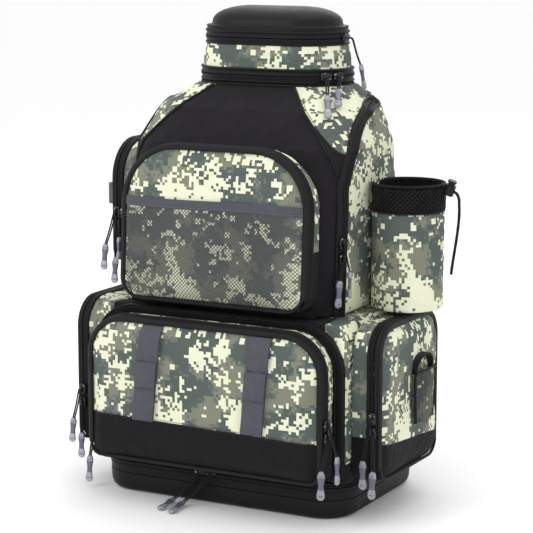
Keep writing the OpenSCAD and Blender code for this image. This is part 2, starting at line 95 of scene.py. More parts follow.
def make_studio():
    make_light("key", (-0.9, -1.7, 1.5), 1.1, 11)
    make_light("fill", (1.9, -1.2, 0.9), 1.4, 3)
    make_light("top", (0.1, 0.2, 2.1), 1.2, 7)
    make_light("rear", (-0.6, 1.9, 1.4), 1.3, 6)
    world = bpy.data.worlds.new("studio")
    scene.world = world
    world.use_nodes = True
    world.node_tree.nodes["Background"].inputs["Color"].default_value = (1.0, 1.0, 1.0, 1)
    world.node_tree.nodes["Background"].inputs["Strength"].default_value = 1.03
    scene.view_settings.view_transform = "Standard"
    bpy.ops.mesh.primitive_plane_add(size=90, location=(0, 0, -0.0004))
    floor = bpy.context.object
    floor.name = "floor"
    material = bpy.data.materials.new("floor")
    material.use_nodes = True
    shader = material.node_tree.nodes["Principled BSDF"]
    shader.inputs["Base Color"].default_value = (0.95, 0.95, 0.95, 1)
    shader.inputs["Roughness"].default_value = 0.7
    shader.inputs["Specular IOR Level"].default_value = 0.2
    floor.data.materials.append(material)


# ---------------------------------------------------------------- materials

def node(tree, kind, settings=None, **inputs):
    """Adds a shader node. An input is named, or i0, i1 and so on by its place."""
    made = tree.nodes.new("ShaderNode" + kind)
    for key, value in (settings or {}).items():
        setattr(made, key, value)
    for key, value in inputs.items():
        by_place = key[0] == "i" and key[1:].isdigit()
        socket = made.inputs[int(key[1:])] if by_place else made.inputs[key.replace("_", " ")]
        if isinstance(value, bpy.types.NodeSocket):
            tree.links.new(value, socket)
        else:
            socket.default_value = value
    return made


def calc(tree, operation, a, b=0.0, c=0.0):
    return node(tree, "Math", {"operation": operation}, i0=a, i1=b, i2=c).outputs[0]


def vector_calc(tree, operation, a, b=(0, 0, 0)):
    return node(tree, "VectorMath", {"operation": operation}, i0=a, i1=b).outputs[0]


def choose(tree, factor, a, b):
    """Colour a where factor is 0 and b where it is 1."""
    mix = node(tree, "Mix", {"data_type": "RGBA"}, i0=factor)
    for place, value in ((6, a), (7, b)):
        if isinstance(value, bpy.types.NodeSocket):
            tree.links.new(value, mix.inputs[place])
        else:
            mix.inputs[place].default_value = (*value, 1)
    return mix.outputs[2]


def scaled(tree, value, low, high):
    """A 0 to 1 value mapped to low to high."""
    return calc(tree, "MULTIPLY_ADD", value, high - low, low)


class Look:
    """A material under construction: its tree, its shader and the cloth's own flat coordinates."""

    def __init__(self, name, roughness, **settings):
        self.material = bpy.data.materials.new(name)
        self.material.use_nodes = True
        self.tree = self.material.node_tree
        self.shader = self.tree.nodes["Principled BSDF"]
        self.shader.inputs["Roughness"].default_value = roughness
        for key, value in settings.items():
            self.shader.inputs[key.replace("_", " ")].default_value = value
        source = self.tree.nodes.new("ShaderNodeTexCoord")
        self.place = vector_calc(self.tree, "MULTIPLY", source.outputs["Object"], (1 / MM,) * 3)
        self.normal = source.outputs["Normal"]
        self.xyz = node(self.tree, "SeparateXYZ", Vector=self.place)

    def flat(self, round_axis=None):
        """Flat coordinates of the cloth: by the side that the surface faces, or round an upright axis."""
        tree, (x, y, z) = self.tree, self.xyz.outputs
        if round_axis:
            dx = calc(tree, "SUBTRACT", x, round_axis[0])
            dy = calc(tree, "SUBTRACT", y, round_axis[1])
            turn = calc(tree, "ARCTAN2", dy, dx)
            return calc(tree, "MULTIPLY", turn, round_axis[2]), z
        facing = node(tree, "SeparateXYZ", Vector=vector_calc(tree, "ABSOLUTE", self.normal))
        nx, ny, nz = facing.outputs
        flatter = calc(tree, "MULTIPLY", nz, 0.8)
        side = calc(tree, "MULTIPLY", calc(tree, "GREATER_THAN", nx, ny),
                    calc(tree, "GREATER_THAN", nx, flatter))
        top = calc(tree, "GREATER_THAN", flatter, calc(tree, "MAXIMUM", nx, ny))
        u = node(tree, "Mix", {"data_type": "FLOAT"}, i0=side, i2=x, i3=y).outputs[0]
        v = node(tree, "Mix", {"data_type": "FLOAT"}, i0=top, i2=z, i3=y).outputs[0]
        return u, v

    def noise(self, size, detail, vector=None, roughness=0.55):
        """Cloudy noise, 0 to 1, with features about size across."""
        return node(self.tree, "TexNoise", Vector=vector or self.place, Scale=1 / size, Detail=detail,
                    Roughness=roughness).outputs[0]

    def weave(self, u, v, pitch):
        """Threads over and under each other, -1 to 1."""
        turn = 2 * math.pi / pitch
        a = calc(self.tree, "SINE", calc(self.tree, "MULTIPLY", u, turn))
        b = calc(self.tree, "SINE", calc(self.tree, "MULTIPLY", v, turn))
        return calc(self.tree, "MULTIPLY", a, b)

    def bump(self, height, depth, strength):
        made = node(self.tree, "Bump", Strength=strength, Distance=depth * MM, Height=height)
        self.tree.links.new(made.outputs[0], self.shader.inputs["Normal"])

    def plain(self, colour):
        """One colour as a socket that shade() can vary."""
        return node(self.tree, "CombineXYZ", i0=colour[0], i1=colour[1], i2=colour[2]).outputs[0]

    def colour(self, value):
        self.tree.links.new(value, self.shader.inputs["Base Color"])

    def rough(self, value, low, high):
        """Roughness that follows a 0 to 1 value from low to high."""
        self.tree.links.new(scaled(self.tree, value, low, high), self.shader.inputs["Roughness"])

    def shade(self, colour, factor):
        """A colour made lighter or darker by a factor."""
        return vector_calc(self.tree, "MULTIPLY", colour, self.plain((factor,) * 3))

    def tint(self, colour, factor):
        """Makes the surface one colour, lighter or darker by a factor."""
        self.colour(self.shade(self.plain(colour), factor))


CREAM, SLATE = (0.82, 0.84, 0.62), (0.098, 0.121, 0.110)
OLIVE, GREY = (0.226, 0.232, 0.176), (0.150, 0.171, 0.154)
INK = (0.0074, 0.0068, 0.0080)
CELL = 2.9  # one square of the camouflage print
THREAD = 0.9  # pitch of the woven polyester


def camo_print(look, u, v):
    """Colour of a print made of squares: large patches whose edges break up into single squares."""
    tree = look.tree

    def squares(size, seed):
        """The flat coordinates snapped to squares, counted in single squares."""
        return node(tree, "CombineXYZ",
                    i0=calc(tree, "SNAP", calc(tree, "DIVIDE", u, CELL), size),
                    i1=calc(tree, "SNAP", calc(tree, "DIVIDE", v, CELL), size), i2=seed).outputs[0]

    def chance(size, seed):
        shifted = vector_calc(tree, "ADD", squares(size, seed), (0.37, 0.61, 0.0))
        return node(tree, "TexWhiteNoise", {"noise_dimensions": "3D"}, Vector=shifted).outputs[0]

    one, two = chance(1.0, 3.0), chance(2.0, 11.0)
    jitter = calc(tree, "ADD", scaled(tree, one, -0.05, 0.05), scaled(tree, two, -0.035, 0.035))
    light = calc(tree, "ADD", look.noise(11.5, 3.5, squares(1.0, 5.0), 0.62), jitter)
    tone = calc(tree, "ADD", look.noise(14, 3.0, squares(1.0, 40.0), 0.55), jitter)
    ramp = node(tree, "ValToRGB", i0=tone)
    ramp.color_ramp.interpolation = "CONSTANT"
    ramp.color_ramp.elements[0].color = (*OLIVE, 1)
    ramp.color_ramp.elements[1].position = 0.46
    ramp.color_ramp.elements[1].color = (*GREY, 1)
    slate = ramp.color_ramp.elements.new(0.5)
    slate.color = (*SLATE, 1)
    cream = calc(tree, "GREATER_THAN", light, 0.525)
    stray = calc(tree, "GREATER_THAN", two, 0.955)
    hole = calc(tree, "GREATER_THAN", one, 0.84)
    near = calc(tree, "LESS_THAN", calc(tree, "ABSOLUTE", calc(tree, "SUBTRACT", light, 0.57)), 0.075)
    speck = calc(tree, "MULTIPLY", hole, near)
    shown = calc(tree, "MULTIPLY", calc(tree, "MAXIMUM", cream, stray), calc(tree, "SUBTRACT", 1.0, speck))
    return choose(tree, shown, ramp.outputs[0], CREAM)


def polyester(name, round_axis=None):
    """A woven cloth under construction, its flat coordinates and its weave."""
    look = Look(name, 0.85, Sheen_Weight=0.03, Sheen_Roughness=0.5, Specular_IOR_Level=0.18)
    u, v = look.flat(round_axis)
    weave = look.weave(u, v, THREAD)
    look.bump(calc(look.tree, "ADD", weave, scaled(look.tree, look.noise(1.6, 2), 0, 1.2)), 0.18, 0.45)
    return look, u, v, weave


def cloth_look(name, dark_parts=(), mirrored=False, round_axis=None, camo=True, shade=1.0):
    """Printed or black polyester.

    Each dark part is a group of planes (a, b, c, d): black where a*x + b*y + c*z < d holds for all of them.
    mirrored takes x without its sign.
    """
    look, u, v, weave = polyester(name, round_axis)
    tree = look.tree
    clouds = look.noise(60, 3)
    rubbed = calc(tree, "MULTIPLY", look.noise(9, 4), look.noise(2.2, 2))
    colour = look.shade(look.plain(INK), calc(tree, "ADD", scaled(tree, weave, 0.92, 1.12),
                                              scaled(tree, rubbed, -0.18, 0.9)))
    if camo:
        dark, place = None, look.place
        if mirrored:
            place = vector_calc(tree, "MULTIPLY", vector_calc(tree, "ABSOLUTE", place), (1, 0, 0))
            place = vector_calc(tree, "ADD", place, vector_calc(tree, "MULTIPLY", look.place, (0, 1, 1)))
        for group in dark_parts:
            inside = None
            for a, b, c, d in group:
                height = node(tree, "VectorMath", {"operation": "DOT_PRODUCT"}, i0=place, i1=(a, b, c))
                below = calc(tree, "LESS_THAN", height.outputs["Value"], d)
                inside = calc(tree, "MULTIPLY", inside, below) if inside else below
            dark = calc(tree, "MAXIMUM", dark, inside) if dark else inside
        tint = calc(tree, "ADD", scaled(tree, weave, 0.92 * shade, shade), scaled(tree, clouds, -0.06, 0.08))
        printed = look.shade(camo_print(look, u, v), tint)
        colour = choose(tree, dark, printed, colour) if dark else printed
    look.colour(colour)
    look.rough(clouds, 0.76, 0.92)
    return look.material


def panel_look():
    """The front panel's cloth: black in the middle, printed at both shoulders beyond the slanted seams."""
    look, u, v, weave = polyester("panel_cloth")
    tree, (x, _, z) = look.tree, look.xyz.outputs
    plain = look.plain((INK[0] * 1.4, INK[1] * 1.3, INK[2] * 1.4))
    black = look.shade(plain, calc(tree, "ADD", scaled(tree, weave, 0.95, 1.1),
                                   scaled(tree, look.noise(6, 4), -0.12, 0.3)))
    printed = look.shade(camo_print(look, u, v), scaled(tree, weave, 0.93, 0.99))
    seam = calc(tree, "MULTIPLY_ADD", z, -SHOULDER_SLOPE, SHOULDER_TOP_X + SHOULDER_SLOPE * SHOULDER_TOP_Z)
    outside = calc(tree, "GREATER_THAN", calc(tree, "ABSOLUTE", x), seam)
    low = calc(tree, "LESS_THAN", z, SHOULDER_LOW_Z)
    neck = calc(tree, "GREATER_THAN", z, NECK_Z)
    plain_part = calc(tree, "MAXIMUM", calc(tree, "SUBTRACT", 1.0, outside), calc(tree, "MAXIMUM", low, neck))
    look.colour(choose(tree, plain_part, printed, black))
    look.rough(look.noise(50, 3), 0.78, 0.92)
    return look.material


def webbing_look(name, colour, rib=1.5):
    """Woven tape with level ribs."""
    look = Look(name, 0.75, Sheen_Weight=0.05, Specular_IOR_Level=0.22)
    tree = look.tree
    ribs = calc(tree, "SINE", calc(tree, "MULTIPLY", look.xyz.outputs[2], 2 * math.pi / rib))
    fine = look.weave(*look.flat(), 0.8)
    look.tint(colour, calc(tree, "ADD", scaled(tree, ribs, 0.86, 1.0),
                           scaled(tree, look.noise(7, 4), -0.15, 0.25)))
    look.rough(look.noise(12, 3), 0.62, 0.86)
    look.bump(calc(tree, "ADD", ribs, fine), 0.22, 0.6)
    return look.material


def zip_look():
    """Nylon zip tape and coil: black, ribbed along and a little glossy."""
    look = Look("zip_nylon", 0.5, Specular_IOR_Level=0.24)
    tree = look.tree
    fine = look.weave(*look.flat(), 0.7)
    look.tint((0.0046, 0.0043, 0.0049), calc(tree, "ADD", scaled(tree, fine, 0.85, 1.1),
                                             scaled(tree, look.noise(5, 3), -0.2, 0.6)))
    look.rough(look.noise(14, 3), 0.38, 0.68)
    look.bump(calc(tree, "ADD", fine, look.noise(1.2, 2)), 0.15, 0.5)
    return look.material


def moulded_look(name, colour, grain, low, high):
    """Moulded foam or plastic with a fine grain and faint rub marks. low and high bound its roughness."""
    look = Look(name, 0.6, Specular_IOR_Level=0.2)
    tree = look.tree
    marks = calc(tree, "MULTIPLY", look.noise(26, 4), look.noise(3, 3))
    look.tint(colour, calc(tree, "ADD", scaled(tree, marks, 0.8, 1.9),
                           scaled(tree, look.noise(70, 2), -0.1, 0.1)))
    look.rough(look.noise(18, 4), low, high)
    look.bump(look.noise(grain, 3), 0.12, 0.5)
    return look.material


def metal_look():
    look = Look("slider_metal", 0.3, Metallic=0.85)
    tree = look.tree
    rubbed = look.noise(2.5, 3)
    edge = calc(tree, "GREATER_THAN", rubbed, 0.64)
    look.colour(choose(tree, edge, (0.035, 0.034, 0.036), (0.36, 0.35, 0.34)))
    look.rough(rubbed, 0.18, 0.42)
    look.bump(look.noise(0.8, 2), 0.05, 0.3)
    return look.material


def grip_look(name, colour, clear):
    """Soft pull material. clear is how much light passes through it."""
    look = Look(name, 0.25, Transmission_Weight=clear, IOR=1.46, Coat_Weight=0.3, Coat_Roughness=0.15)
    look.tint(colour, scaled(look.tree, look.noise(7, 2), 0.85, 1.15))
    look.rough(look.noise(3, 3), 0.1, 0.3)
    look.bump(look.noise(3.5, 1), 0.04, 0.15)
    return look.material


def net_look(name, colour):
    """Matt thread, for nets and stitches."""
    look = Look(name, 0.6, Sheen_Weight=0.05, Specular_IOR_Level=0.3)
    look.tint(colour, scaled(look.tree, look.noise(6, 4), 0.75, 1.3))
    look.rough(look.noise(4, 2), 0.5, 0.75)
    look.bump(look.noise(0.5, 2), 0.06, 0.5)
    return look.material


def knit_look(name, colour, pitch, depth, round_axis=None):
    """Knitted mesh: rows of small holes set as diamonds."""
    look = Look(name, 0.85, Sheen_Weight=0.03, Specular_IOR_Level=0.15)
    tree = look.tree
    u, v = look.flat(round_axis)
    hole = look.weave(calc(tree, "ADD", u, v), calc(tree, "SUBTRACT", u, v), pitch)
    solid = calc(tree, "GREATER_THAN", hole, -0.25)
    # The holes are painted far darker than the knit round them: painted shade in their depth.
    look.tint(colour, calc(tree, "ADD", scaled(tree, solid, 0.15, 1.25),
                           scaled(tree, look.noise(8, 3), -0.1, 0.3)))
    look.rough(look.noise(30, 3), 0.72, 0.92)
    look.bump(hole, depth, 0.8)
    return look.material


# The slanted seams between the front panel's black middle and its printed shoulders
SHOULDER_TOP_X, SHOULDER_TOP_Z, SHOULDER_SLOPE, SHOULDER_LOW_Z = 50, 436, 1.18, 350
NECK_Z = 438.3  # the panel's cloth is black above this, under the top case
SLEEVE_X, SLEEVE_Y = 165.0, 18.0  # the bottle sleeve's axis
SLEEVE_SEAM_X = 131  # about where the sleeve's cloth meets the pack
AROUND_SLEEVE = (SLEEVE_X, SLEEVE_Y, 37.8)
LOOKS = {}


def make_looks():
    LOOKS.update(
        camo=cloth_look("camo_cloth"),
        rear=cloth_look("rear_shell_cloth", [[(0, -1, 0, -94.0)]]),
        lower=cloth_look("lower_shell_cloth", [
            [(0, -1, 0, -94.0)], [(0, 0, 1, 62.0)],
            [(1, 0, 0, 126.0), (0, 1, 0, -66.0), (0, 0, -1, -191.0)]], True),
        flap=cloth_look("front_flap_cloth", [[(0.02, 0, 1, 91.5)]]),
        flank=cloth_look("flank_cloth", [[(0, 0.09, 1, 76.0)], [(0, 1, 0, -80.0), (0, 0, 1, 90.0)]]),
        upper=cloth_look("upper_gusset_cloth", [[(0, 0, 1, 278.0)]]),
        sleeve=cloth_look("sleeve_cloth", round_axis=AROUND_SLEEVE),
        sheath=cloth_look("sheath_cloth", shade=0.42),
        black=cloth_look("black_cloth", camo=False),
        panel=panel_look(),
        zip=zip_look(),
        eva=moulded_look("moulded_foam", (0.0050, 0.0047, 0.0054), 1.3, 0.4, 0.58),
        plastic=moulded_look("moulded_plastic", (0.010, 0.0095, 0.010), 0.7, 0.3, 0.5),
        sheet=moulded_look("stiffener_sheet", (0.62, 0.61, 0.57), 1.5, 0.35, 0.5),
        webbing=webbing_look("grey_webbing", (0.088, 0.091, 0.112)),
        strap=webbing_look("black_webbing", (0.0095, 0.009, 0.010)),
        braid=webbing_look("black_braid", (0.010, 0.0095, 0.0105), 1.1),
        net=net_look("grey_net", (0.112, 0.114, 0.118)),
        dark_net=net_look("black_net", (0.0062, 0.0058, 0.0066)),
        knit=knit_look("collar_knit", (0.0030, 0.0028, 0.0032), 3.0, 0.3, AROUND_SLEEVE),
        spacer=knit_look("spacer_knit", (0.017, 0.017, 0.019), 3.6, 0.5),
        metal=metal_look(),
        grip=grip_look("grip_grey", (0.12, 0.123, 0.165), 0.2),
        tip=grip_look("grip_clear", (0.48, 0.50, 0.56), 0.55),
        thread=net_look("stitching", (0.03, 0.03, 0.034)),
        pale_thread=net_look("grey_stitching", (0.15, 0.15, 0.19)),
    )


# ---------------------------------------------------------------- meshes

def unit(a):
    return a / np.maximum(np.linalg.norm(a, axis=-1, keepdims=True), 1e-9)


class Piece:
    """A mesh gathered from parts in millimetres, then made into one object that rides on a body."""

    def __init__(self, name):
        self.name, self.points, self.faces, self.face_looks, self.looks = name, [], [], [], []

    def add(self, shape, look):
        points, faces = shape
        start = sum(len(p) for p in self.points)
        if look not in self.looks:
            self.looks.append(look)
        self.points.append(np.asarray(points, float))
        self.faces += [tuple(start + i for i in f) for f in faces]
        self.face_looks += [self.looks.index(look)] * len(faces)
        return self

    def made(self):
        mesh = bpy.data.meshes.new(self.name)
        mesh.from_pydata((np.concatenate(self.points) * MM).tolist(), [], self.faces)
        for look in self.looks:
            mesh.materials.append(LOOKS[look])
        mesh.polygons.foreach_set("material_index", self.face_looks)
        mesh.polygons.foreach_set("use_smooth", [True] * len(self.faces))
        work = bmesh.new()
        work.from_mesh(mesh)
        bmesh.ops.recalc_face_normals(work, faces=work.faces)
        for edge in work.edges:
            if len(edge.link_faces) == 2 and edge.calc_face_angle(0) > SHARP_EDGE:
                edge.smooth = False
        work.to_mesh(mesh)
        work.free()
        made = bpy.data.objects.new(self.name, mesh)
        scene.collection.objects.link(made)
        return made

    def ride(self, body, slot, *replaced):
        return settle(self.made(), body, slot, *replaced)


def settle(made, body, slot, *replaced):
    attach(made, body)
    if replaced:
        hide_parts(*replaced)
    return made


def loft(rings, capped=True):
    """Quads between closed rings of equal length. The caps close the first and the last ring."""
    rings = np.asarray(rings, float)
    m, n = rings.shape[:2]
    faces = []
    for i in range(m - 1):
        for k in range(n):
            a, b = i * n + k, i * n + (k + 1) % n
            faces.append((a, b, b + n, a + n))
    if capped:
        faces.append(tuple(range(n)))
        faces.append(tuple(range((m - 1) * n, m * n)))
    return rings.reshape(-1, 3), faces


def sweep(path, ups, sides, profile):
    """A profile of (side, up) pairs, itself closed, carried along a path."""
    path, ups, sides = (np.asarray(a, float) for a in (path, ups, sides))
    if ups.ndim == 1:
        ups = np.broadcast_to(ups, path.shape)
    if sides.ndim == 1:
        sides = np.broadcast_to(sides, path.shape)
    return loft([[p + s * side + h * up for s, h in profile] for p, up, side in zip(path, ups, sides)])


def smooth_path(points, step):
    """A smooth curve through the points, with a point about every step."""
    p = np.asarray(points, float)
    ends = np.vstack([2 * p[0] - p[1], p, 2 * p[-1] - p[-2]])
    out = []
    for i in range(len(p) - 1):
        a, b, c, d = ends[i:i + 4]
        n = max(1, int(round(np.linalg.norm(c - b) / step)))
        for k in range(n):
            t = k / n
            out.append(0.5 * (2 * b + (c - a) * t + (2 * a - 5 * b + 4 * c - d) * t ** 2
                              + (3 * b - a - 3 * c + d) * t ** 3))
    return np.array(out + [p[-1]])


def tube(path, radius, sides=8, closed=False, beads=0.0):
    """A round cord along a path. beads swells every other ring, as a zip's coil does."""
    path = np.asarray(path, float)
    ahead = np.roll(path, -1, 0) - np.roll(path, 1, 0)
    if not closed:
        ahead[0], ahead[-1] = path[1] - path[0], path[-1] - path[-2]
    ahead = unit(ahead)
    up = unit(np.cross(ahead[0], [0.31, 0.52, 0.79]))
    rings = []
    for i, (p, t) in enumerate(zip(path, ahead)):
        up = unit(up - t * (up @ t))
        side = np.cross(t, up)
        r = (radius[i] if np.ndim(radius) else radius) + (beads if i % 2 else 0)
        angles = [2 * math.pi * k / sides for k in range(sides)]
        rings.append([p + r * (math.cos(a) * up + math.sin(a) * side) for a in angles])
    if closed:
        rings.append(rings[0])
    return loft(rings, capped=not closed)


def bar(centre, along, side, length, width, thick, bevel):
    """A small bar with chamfered edges, such as a stitch or a slider's plate."""
    along, side = unit(np.asarray(along, float)), unit(np.asarray(side, float))
    up, half = np.cross(along, side), length / 2
    rings = []
    for x, inset in ((-half, bevel), (bevel - half, 0), (half - bevel, 0), (half, bevel)):
        w, t = width / 2 - inset, thick / 2 - inset
        c = min(bevel, w * 0.6, t * 0.6)
        corners = ((w, t - c), (w - c, t), (c - w, t), (-w, t - c),
                   (-w, c - t), (c - w, -t), (w - c, -t), (w, c - t))
        rings.append([centre + x * along + a * side + b * up for a, b in corners])
    return loft(rings)


class Place:
    """Flat pocket coordinates u, v and height h set on one side of the pack."""

    def __init__(self, origin, across, up, out):
        ways = (np.asarray(a, float) for a in (origin, across, up, out))
        self.origin, self.across, self.up, self.out = ways

    def at(self, u, v, h=0.0):
        return self.origin + np.multiply.outer(u, self.across) + np.multiply.outer(v, self.up) \
            + np.multiply.outer(h, self.out)


def even_spread(points, ways, step, closed=False):
    """The same outline with its points evenly spaced."""
    if closed:
        points, ways = np.vstack([points, points[:1]]), np.vstack([ways, ways[:1]])
    far = np.r_[0, np.cumsum(np.linalg.norm(np.diff(points, axis=0), axis=1))]
    count = max(2, int(round(far[-1] / step)) + 1)
    at = np.linspace(0, far[-1], count)[:-1] if closed else np.linspace(0, far[-1], count)
    pick = [np.column_stack([np.interp(at, far, a[:, k]) for k in range(a.shape[1])]) for a in (points, ways)]
    return pick[0], unit(pick[1])


ARC_STEPS = 12  # in each rounded corner of an outline


def outline(corners):
    """Points and outward ways round a rounded outline. A corner is (u, v, radius, first angle)."""
    points, ways = [], []
    for u, v, r, start in corners:
        for i in range(ARC_STEPS + 1):
            a = math.radians(start + 90 * i / ARC_STEPS)
            ways.append((math.cos(a), math.sin(a)))
            points.append((u + r * ways[-1][0], v + r * ways[-1][1]))
    return np.array(points), np.array(ways)


def one_run(keep):
    """Indices of the one unbroken run, going round a closed outline, where keep holds."""
    first = next(i for i in range(len(keep)) if keep[i] and not keep[i - 1])
    return [i % len(keep) for i in range(first, first + int(keep.sum()))]


def ring_pick(points, ways, count, step=1.0):
    """count places evenly spaced round a closed outline. Rings of one count line up with each other."""
    points, ways = even_spread(points, ways, step, closed=True)
    pick = np.linspace(0, len(points), count, endpoint=False).astype(int)
    return points[pick], ways[pick]


def pocket_outline(pocket):
    """A pocket's outline from its two sides, its foot and top, and its top and foot corners' radii."""
    u0, u1, v0, v1, top, foot = pocket
    return outline(((u1 - foot, v0 + foot, foot, -90), (u1 - top, v1 - top, top, 0),
                    (u0 + top, v1 - top, top, 90), (u0 + foot, v0 + foot, foot, 180)))


ZIP_FOOT = 14  # how far above a pocket's foot its zip ends


def arch(pocket, step=3.0):
    """The part of a pocket's outline that is zipped: up one side, over the top and down the other."""
    points, ways = even_spread(*pocket_outline(pocket), 1.0, closed=True)
    order = one_run(points[:, 1] >= pocket[2] + ZIP_FOOT)
    return even_spread(points[order], ways[order], step)


# ---------------------------------------------------------------- soft shapes from the CAD solids

def coords(mesh):
    flat = np.zeros(len(mesh.vertices) * 3, np.float32)
    mesh.vertices.foreach_get("co", flat)
    return flat.reshape(-1, 3).astype(float) / MM


def set_coords(mesh, points):
    mesh.vertices.foreach_set("co", (points * MM).astype(np.float32).ravel())
    mesh.update()


def remeshed(source, name, voxel):
    """A copy of a CAD node's mesh with even faces and soft edges."""
    copy = bpy.data.objects.new(name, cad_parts[source].data.copy())
    scene.collection.objects.link(copy)
    grid = copy.modifiers.new("even", "REMESH")
    grid.mode, grid.voxel_size = "VOXEL", voxel * MM
    soften = copy.modifiers.new("soften", "SMOOTH")
    soften.factor, soften.iterations = 0.5, 4
    applied(copy)
    return copy


def applied(obj):
    """Applies an object's modifiers to its mesh."""
    graph = bpy.context.evaluated_depsgraph_get()
    mesh = bpy.data.meshes.new_from_object(obj.evaluated_get(graph))
    obj.modifiers.clear()
    obj.data = mesh
    mesh.polygons.foreach_set("use_smooth", [True] * len(mesh.polygons))


def ripple(points, wave, seed, stretch=(1, 1, 1)):
    """Smooth random folds, about -1 to 1, at the points. stretch lengthens them along an axis."""
    random = np.random.default_rng(seed)
    ways = unit(random.normal(size=(9, 3))) * (2 * math.pi / wave * random.uniform(0.6, 1.5, (9, 1)))
    ways /= np.asarray(stretch, float)
    return np.sin(points @ ways.T + random.uniform(0, 6.28, 9)).sum(1) / 3.2


def folds(points, wave, seed, stretch=(1, 1, 1)):
    """Creases: sharp valleys between soft swells."""
    return 0.6 - np.abs(ripple(points, wave, seed, stretch)) * 1.1


def dress(obj, look, body, slot, *replaced):
    obj.data.materials.clear()
    obj.data.materials.append(LOOKS[look])
    return settle(obj, body, slot, *replaced)


def face_centres(mesh):
    flat = np.zeros(len(mesh.polygons) * 3, np.float32)
    mesh.polygons.foreach_get("center", flat)
    return flat.reshape(-1, 3).astype(float) / MM


def lined(obj, inside):
    """Gives a sewn part's faces the lining's material where inside, one truth value for each, holds."""
    obj.data.materials.append(LOOKS["black"])
    obj.data.polygons.foreach_set("material_index", inside.astype(np.int32))


def soft_shell(node_name, name, body, slot, look, voxel, push, inside=None):
    """A sewn shell: the CAD solid with even faces, its cloth pushed about by push(points)."""
    made = remeshed(node_name, name, voxel)
    lining = inside(face_centres(made.data)) if inside else None
    points = coords(made.data)
    set_coords(made.data, points + push(points))
    dress(made, look, body, slot, node_name)
    if inside:
        lined(made, lining)
    return made


def rounded_gap(a, b, half_a, half_b, r):
    """How far points (a, b) are outside a rounded rectangle about 0, 0."""
    qa, qb = np.abs(a) - (half_a - r), np.abs(b) - (half_b - r)
    return np.hypot(np.maximum(qa, 0), np.maximum(qb, 0)) + np.minimum(np.maximum(qa, qb), 0) - r


def inside_pocket(place, pocket):
    """A test for the inner face of a pocket's wall."""
    u0, u1, v0, v1, top, foot = pocket

    def test(points):
        q = points - place.origin
        u, v = q @ place.across, q @ place.up
        r = np.where(v > (v0 + v1) / 2, top, foot)
        return rounded_gap(u - (u0 + u1) / 2, v - (v0 + v1) / 2, (u1 - u0) / 2, (v1 - v0) / 2, r) < -1.2
    return test


def plump(obj, pressure, cap, free):
    """Cloth under a little pressure. No point moves past cap, and free(points) is 0 where it is sewn down."""
    before = coords(obj.data)
    cloth = obj.modifiers.new("Cloth", "CLOTH")
    cloth.settings.quality = 4
    cloth.settings.mass = 0.3
    cloth.settings.use_pressure = True
    cloth.settings.uniform_pressure_force = pressure
    cloth.settings.effector_weights.gravity = 0
    cloth.point_cache.frame_start, cloth.point_cache.frame_end = 1, CLOTH_FRAMES
    for number in range(1, CLOTH_FRAMES + 1):
        scene.frame_set(number)
    graph = bpy.context.evaluated_depsgraph_get()
    after = coords(obj.evaluated_get(graph).data)
    obj.modifiers.clear()
    scene.frame_set(1)
    moved = after - before
    far = np.linalg.norm(moved, axis=1, keepdims=True)
    moved *= np.minimum(1, cap / np.maximum(far, 1e-6)) * free(before)[:, None]
    set_coords(obj.data, before + moved)


def refined(obj):
    refine = obj.modifiers.new("refine", "SUBSURF")
    refine.levels = refine.render_levels = 1
    applied(obj)


def padded_part(node_name, name, body, slot, look, place, swell, wrinkle, seed):
    """A padded panel: the CAD solid swelled as cloth on its outer side, with shallow wrinkles."""
    made = remeshed(node_name, name, 4.0)
    heights = (coords(made.data) - place.origin) @ place.out
    base, top = heights.min(), heights.max()

    def free(points):
        """0 on the back of the panel, 1 on its face."""
        share = ((points - place.origin) @ place.out - base) / (top - base)
        return np.clip((share - 0.35) / 0.4, 0, 1)

    plump(made, 4.0, swell, free)
    refined(made)
    points = coords(made.data)
    shift = (folds(points, 46, seed) * 0.6 + ripple(points, 15, seed + 1) * 0.4) * wrinkle
    set_coords(made.data, points + (shift * free(points))[:, None] * place.out)
    dress(made, look, body, slot, node_name)
    lined(made, (face_centres(made.data) - place.origin) @ place.out < base + 1.6)
    return made


class Surface:
    """A surface to lay things on, found by casting a ray from outside."""

    def __init__(self, obj):
        self.tree = BVHTree.FromObject(obj, bpy.context.evaluated_depsgraph_get())

    def under(self, points, way, lift=0.0):
        """Where each point lands when it is moved along way, and the surface's normals there."""
        landed, normals = [], []
        way = Vector(way).normalized()
        for p in np.asarray(points, float):
            hit, normal, _, _ = self.tree.ray_cast(Vector(p * MM) - way * RAY_START, way)
            if hit is None:
                landed.append(np.array(p))
                normals.append(-np.array(way))
            else:
                landed.append(np.array(hit) / MM)
                normals.append(np.array(normal if normal.dot(way) < 0 else -normal))
        normals = unit(np.array(normals))
        return np.array(landed) + lift * normals, normals


# ---------------------------------------------------------------- pockets and zips

FRONT_Y, POCKET_Y = -98.4, -101.0
LOWER_CENTRE, LOWER_HALF = (0, 1, 124), (149, 99, 83)  # the lower compartment's middle and half sizes
MAIN_SIDE = 128  # half the main compartment's width
FRONT = Place((0, POCKET_Y, 0), ASIDE, UP, AHEAD)
DOOR_FACE = Place((0, FRONT_Y, 0), ASIDE, UP, AHEAD)
RIGHT = Place((LOWER_HALF[0], 0, 0), -AHEAD, UP, ASIDE)
LEFT = Place((-LOWER_HALF[0], 0, 0), -AHEAD, UP, -ASIDE)
UPPER_LEFT = Place((-MAIN_SIDE, 0, 0), -AHEAD, UP, -ASIDE)
PANEL = Place((0, -86, 212), ASIDE, (0, math.sin(LEAN), math.cos(LEAN)),
              (0, -math.cos(LEAN), math.sin(LEAN)))
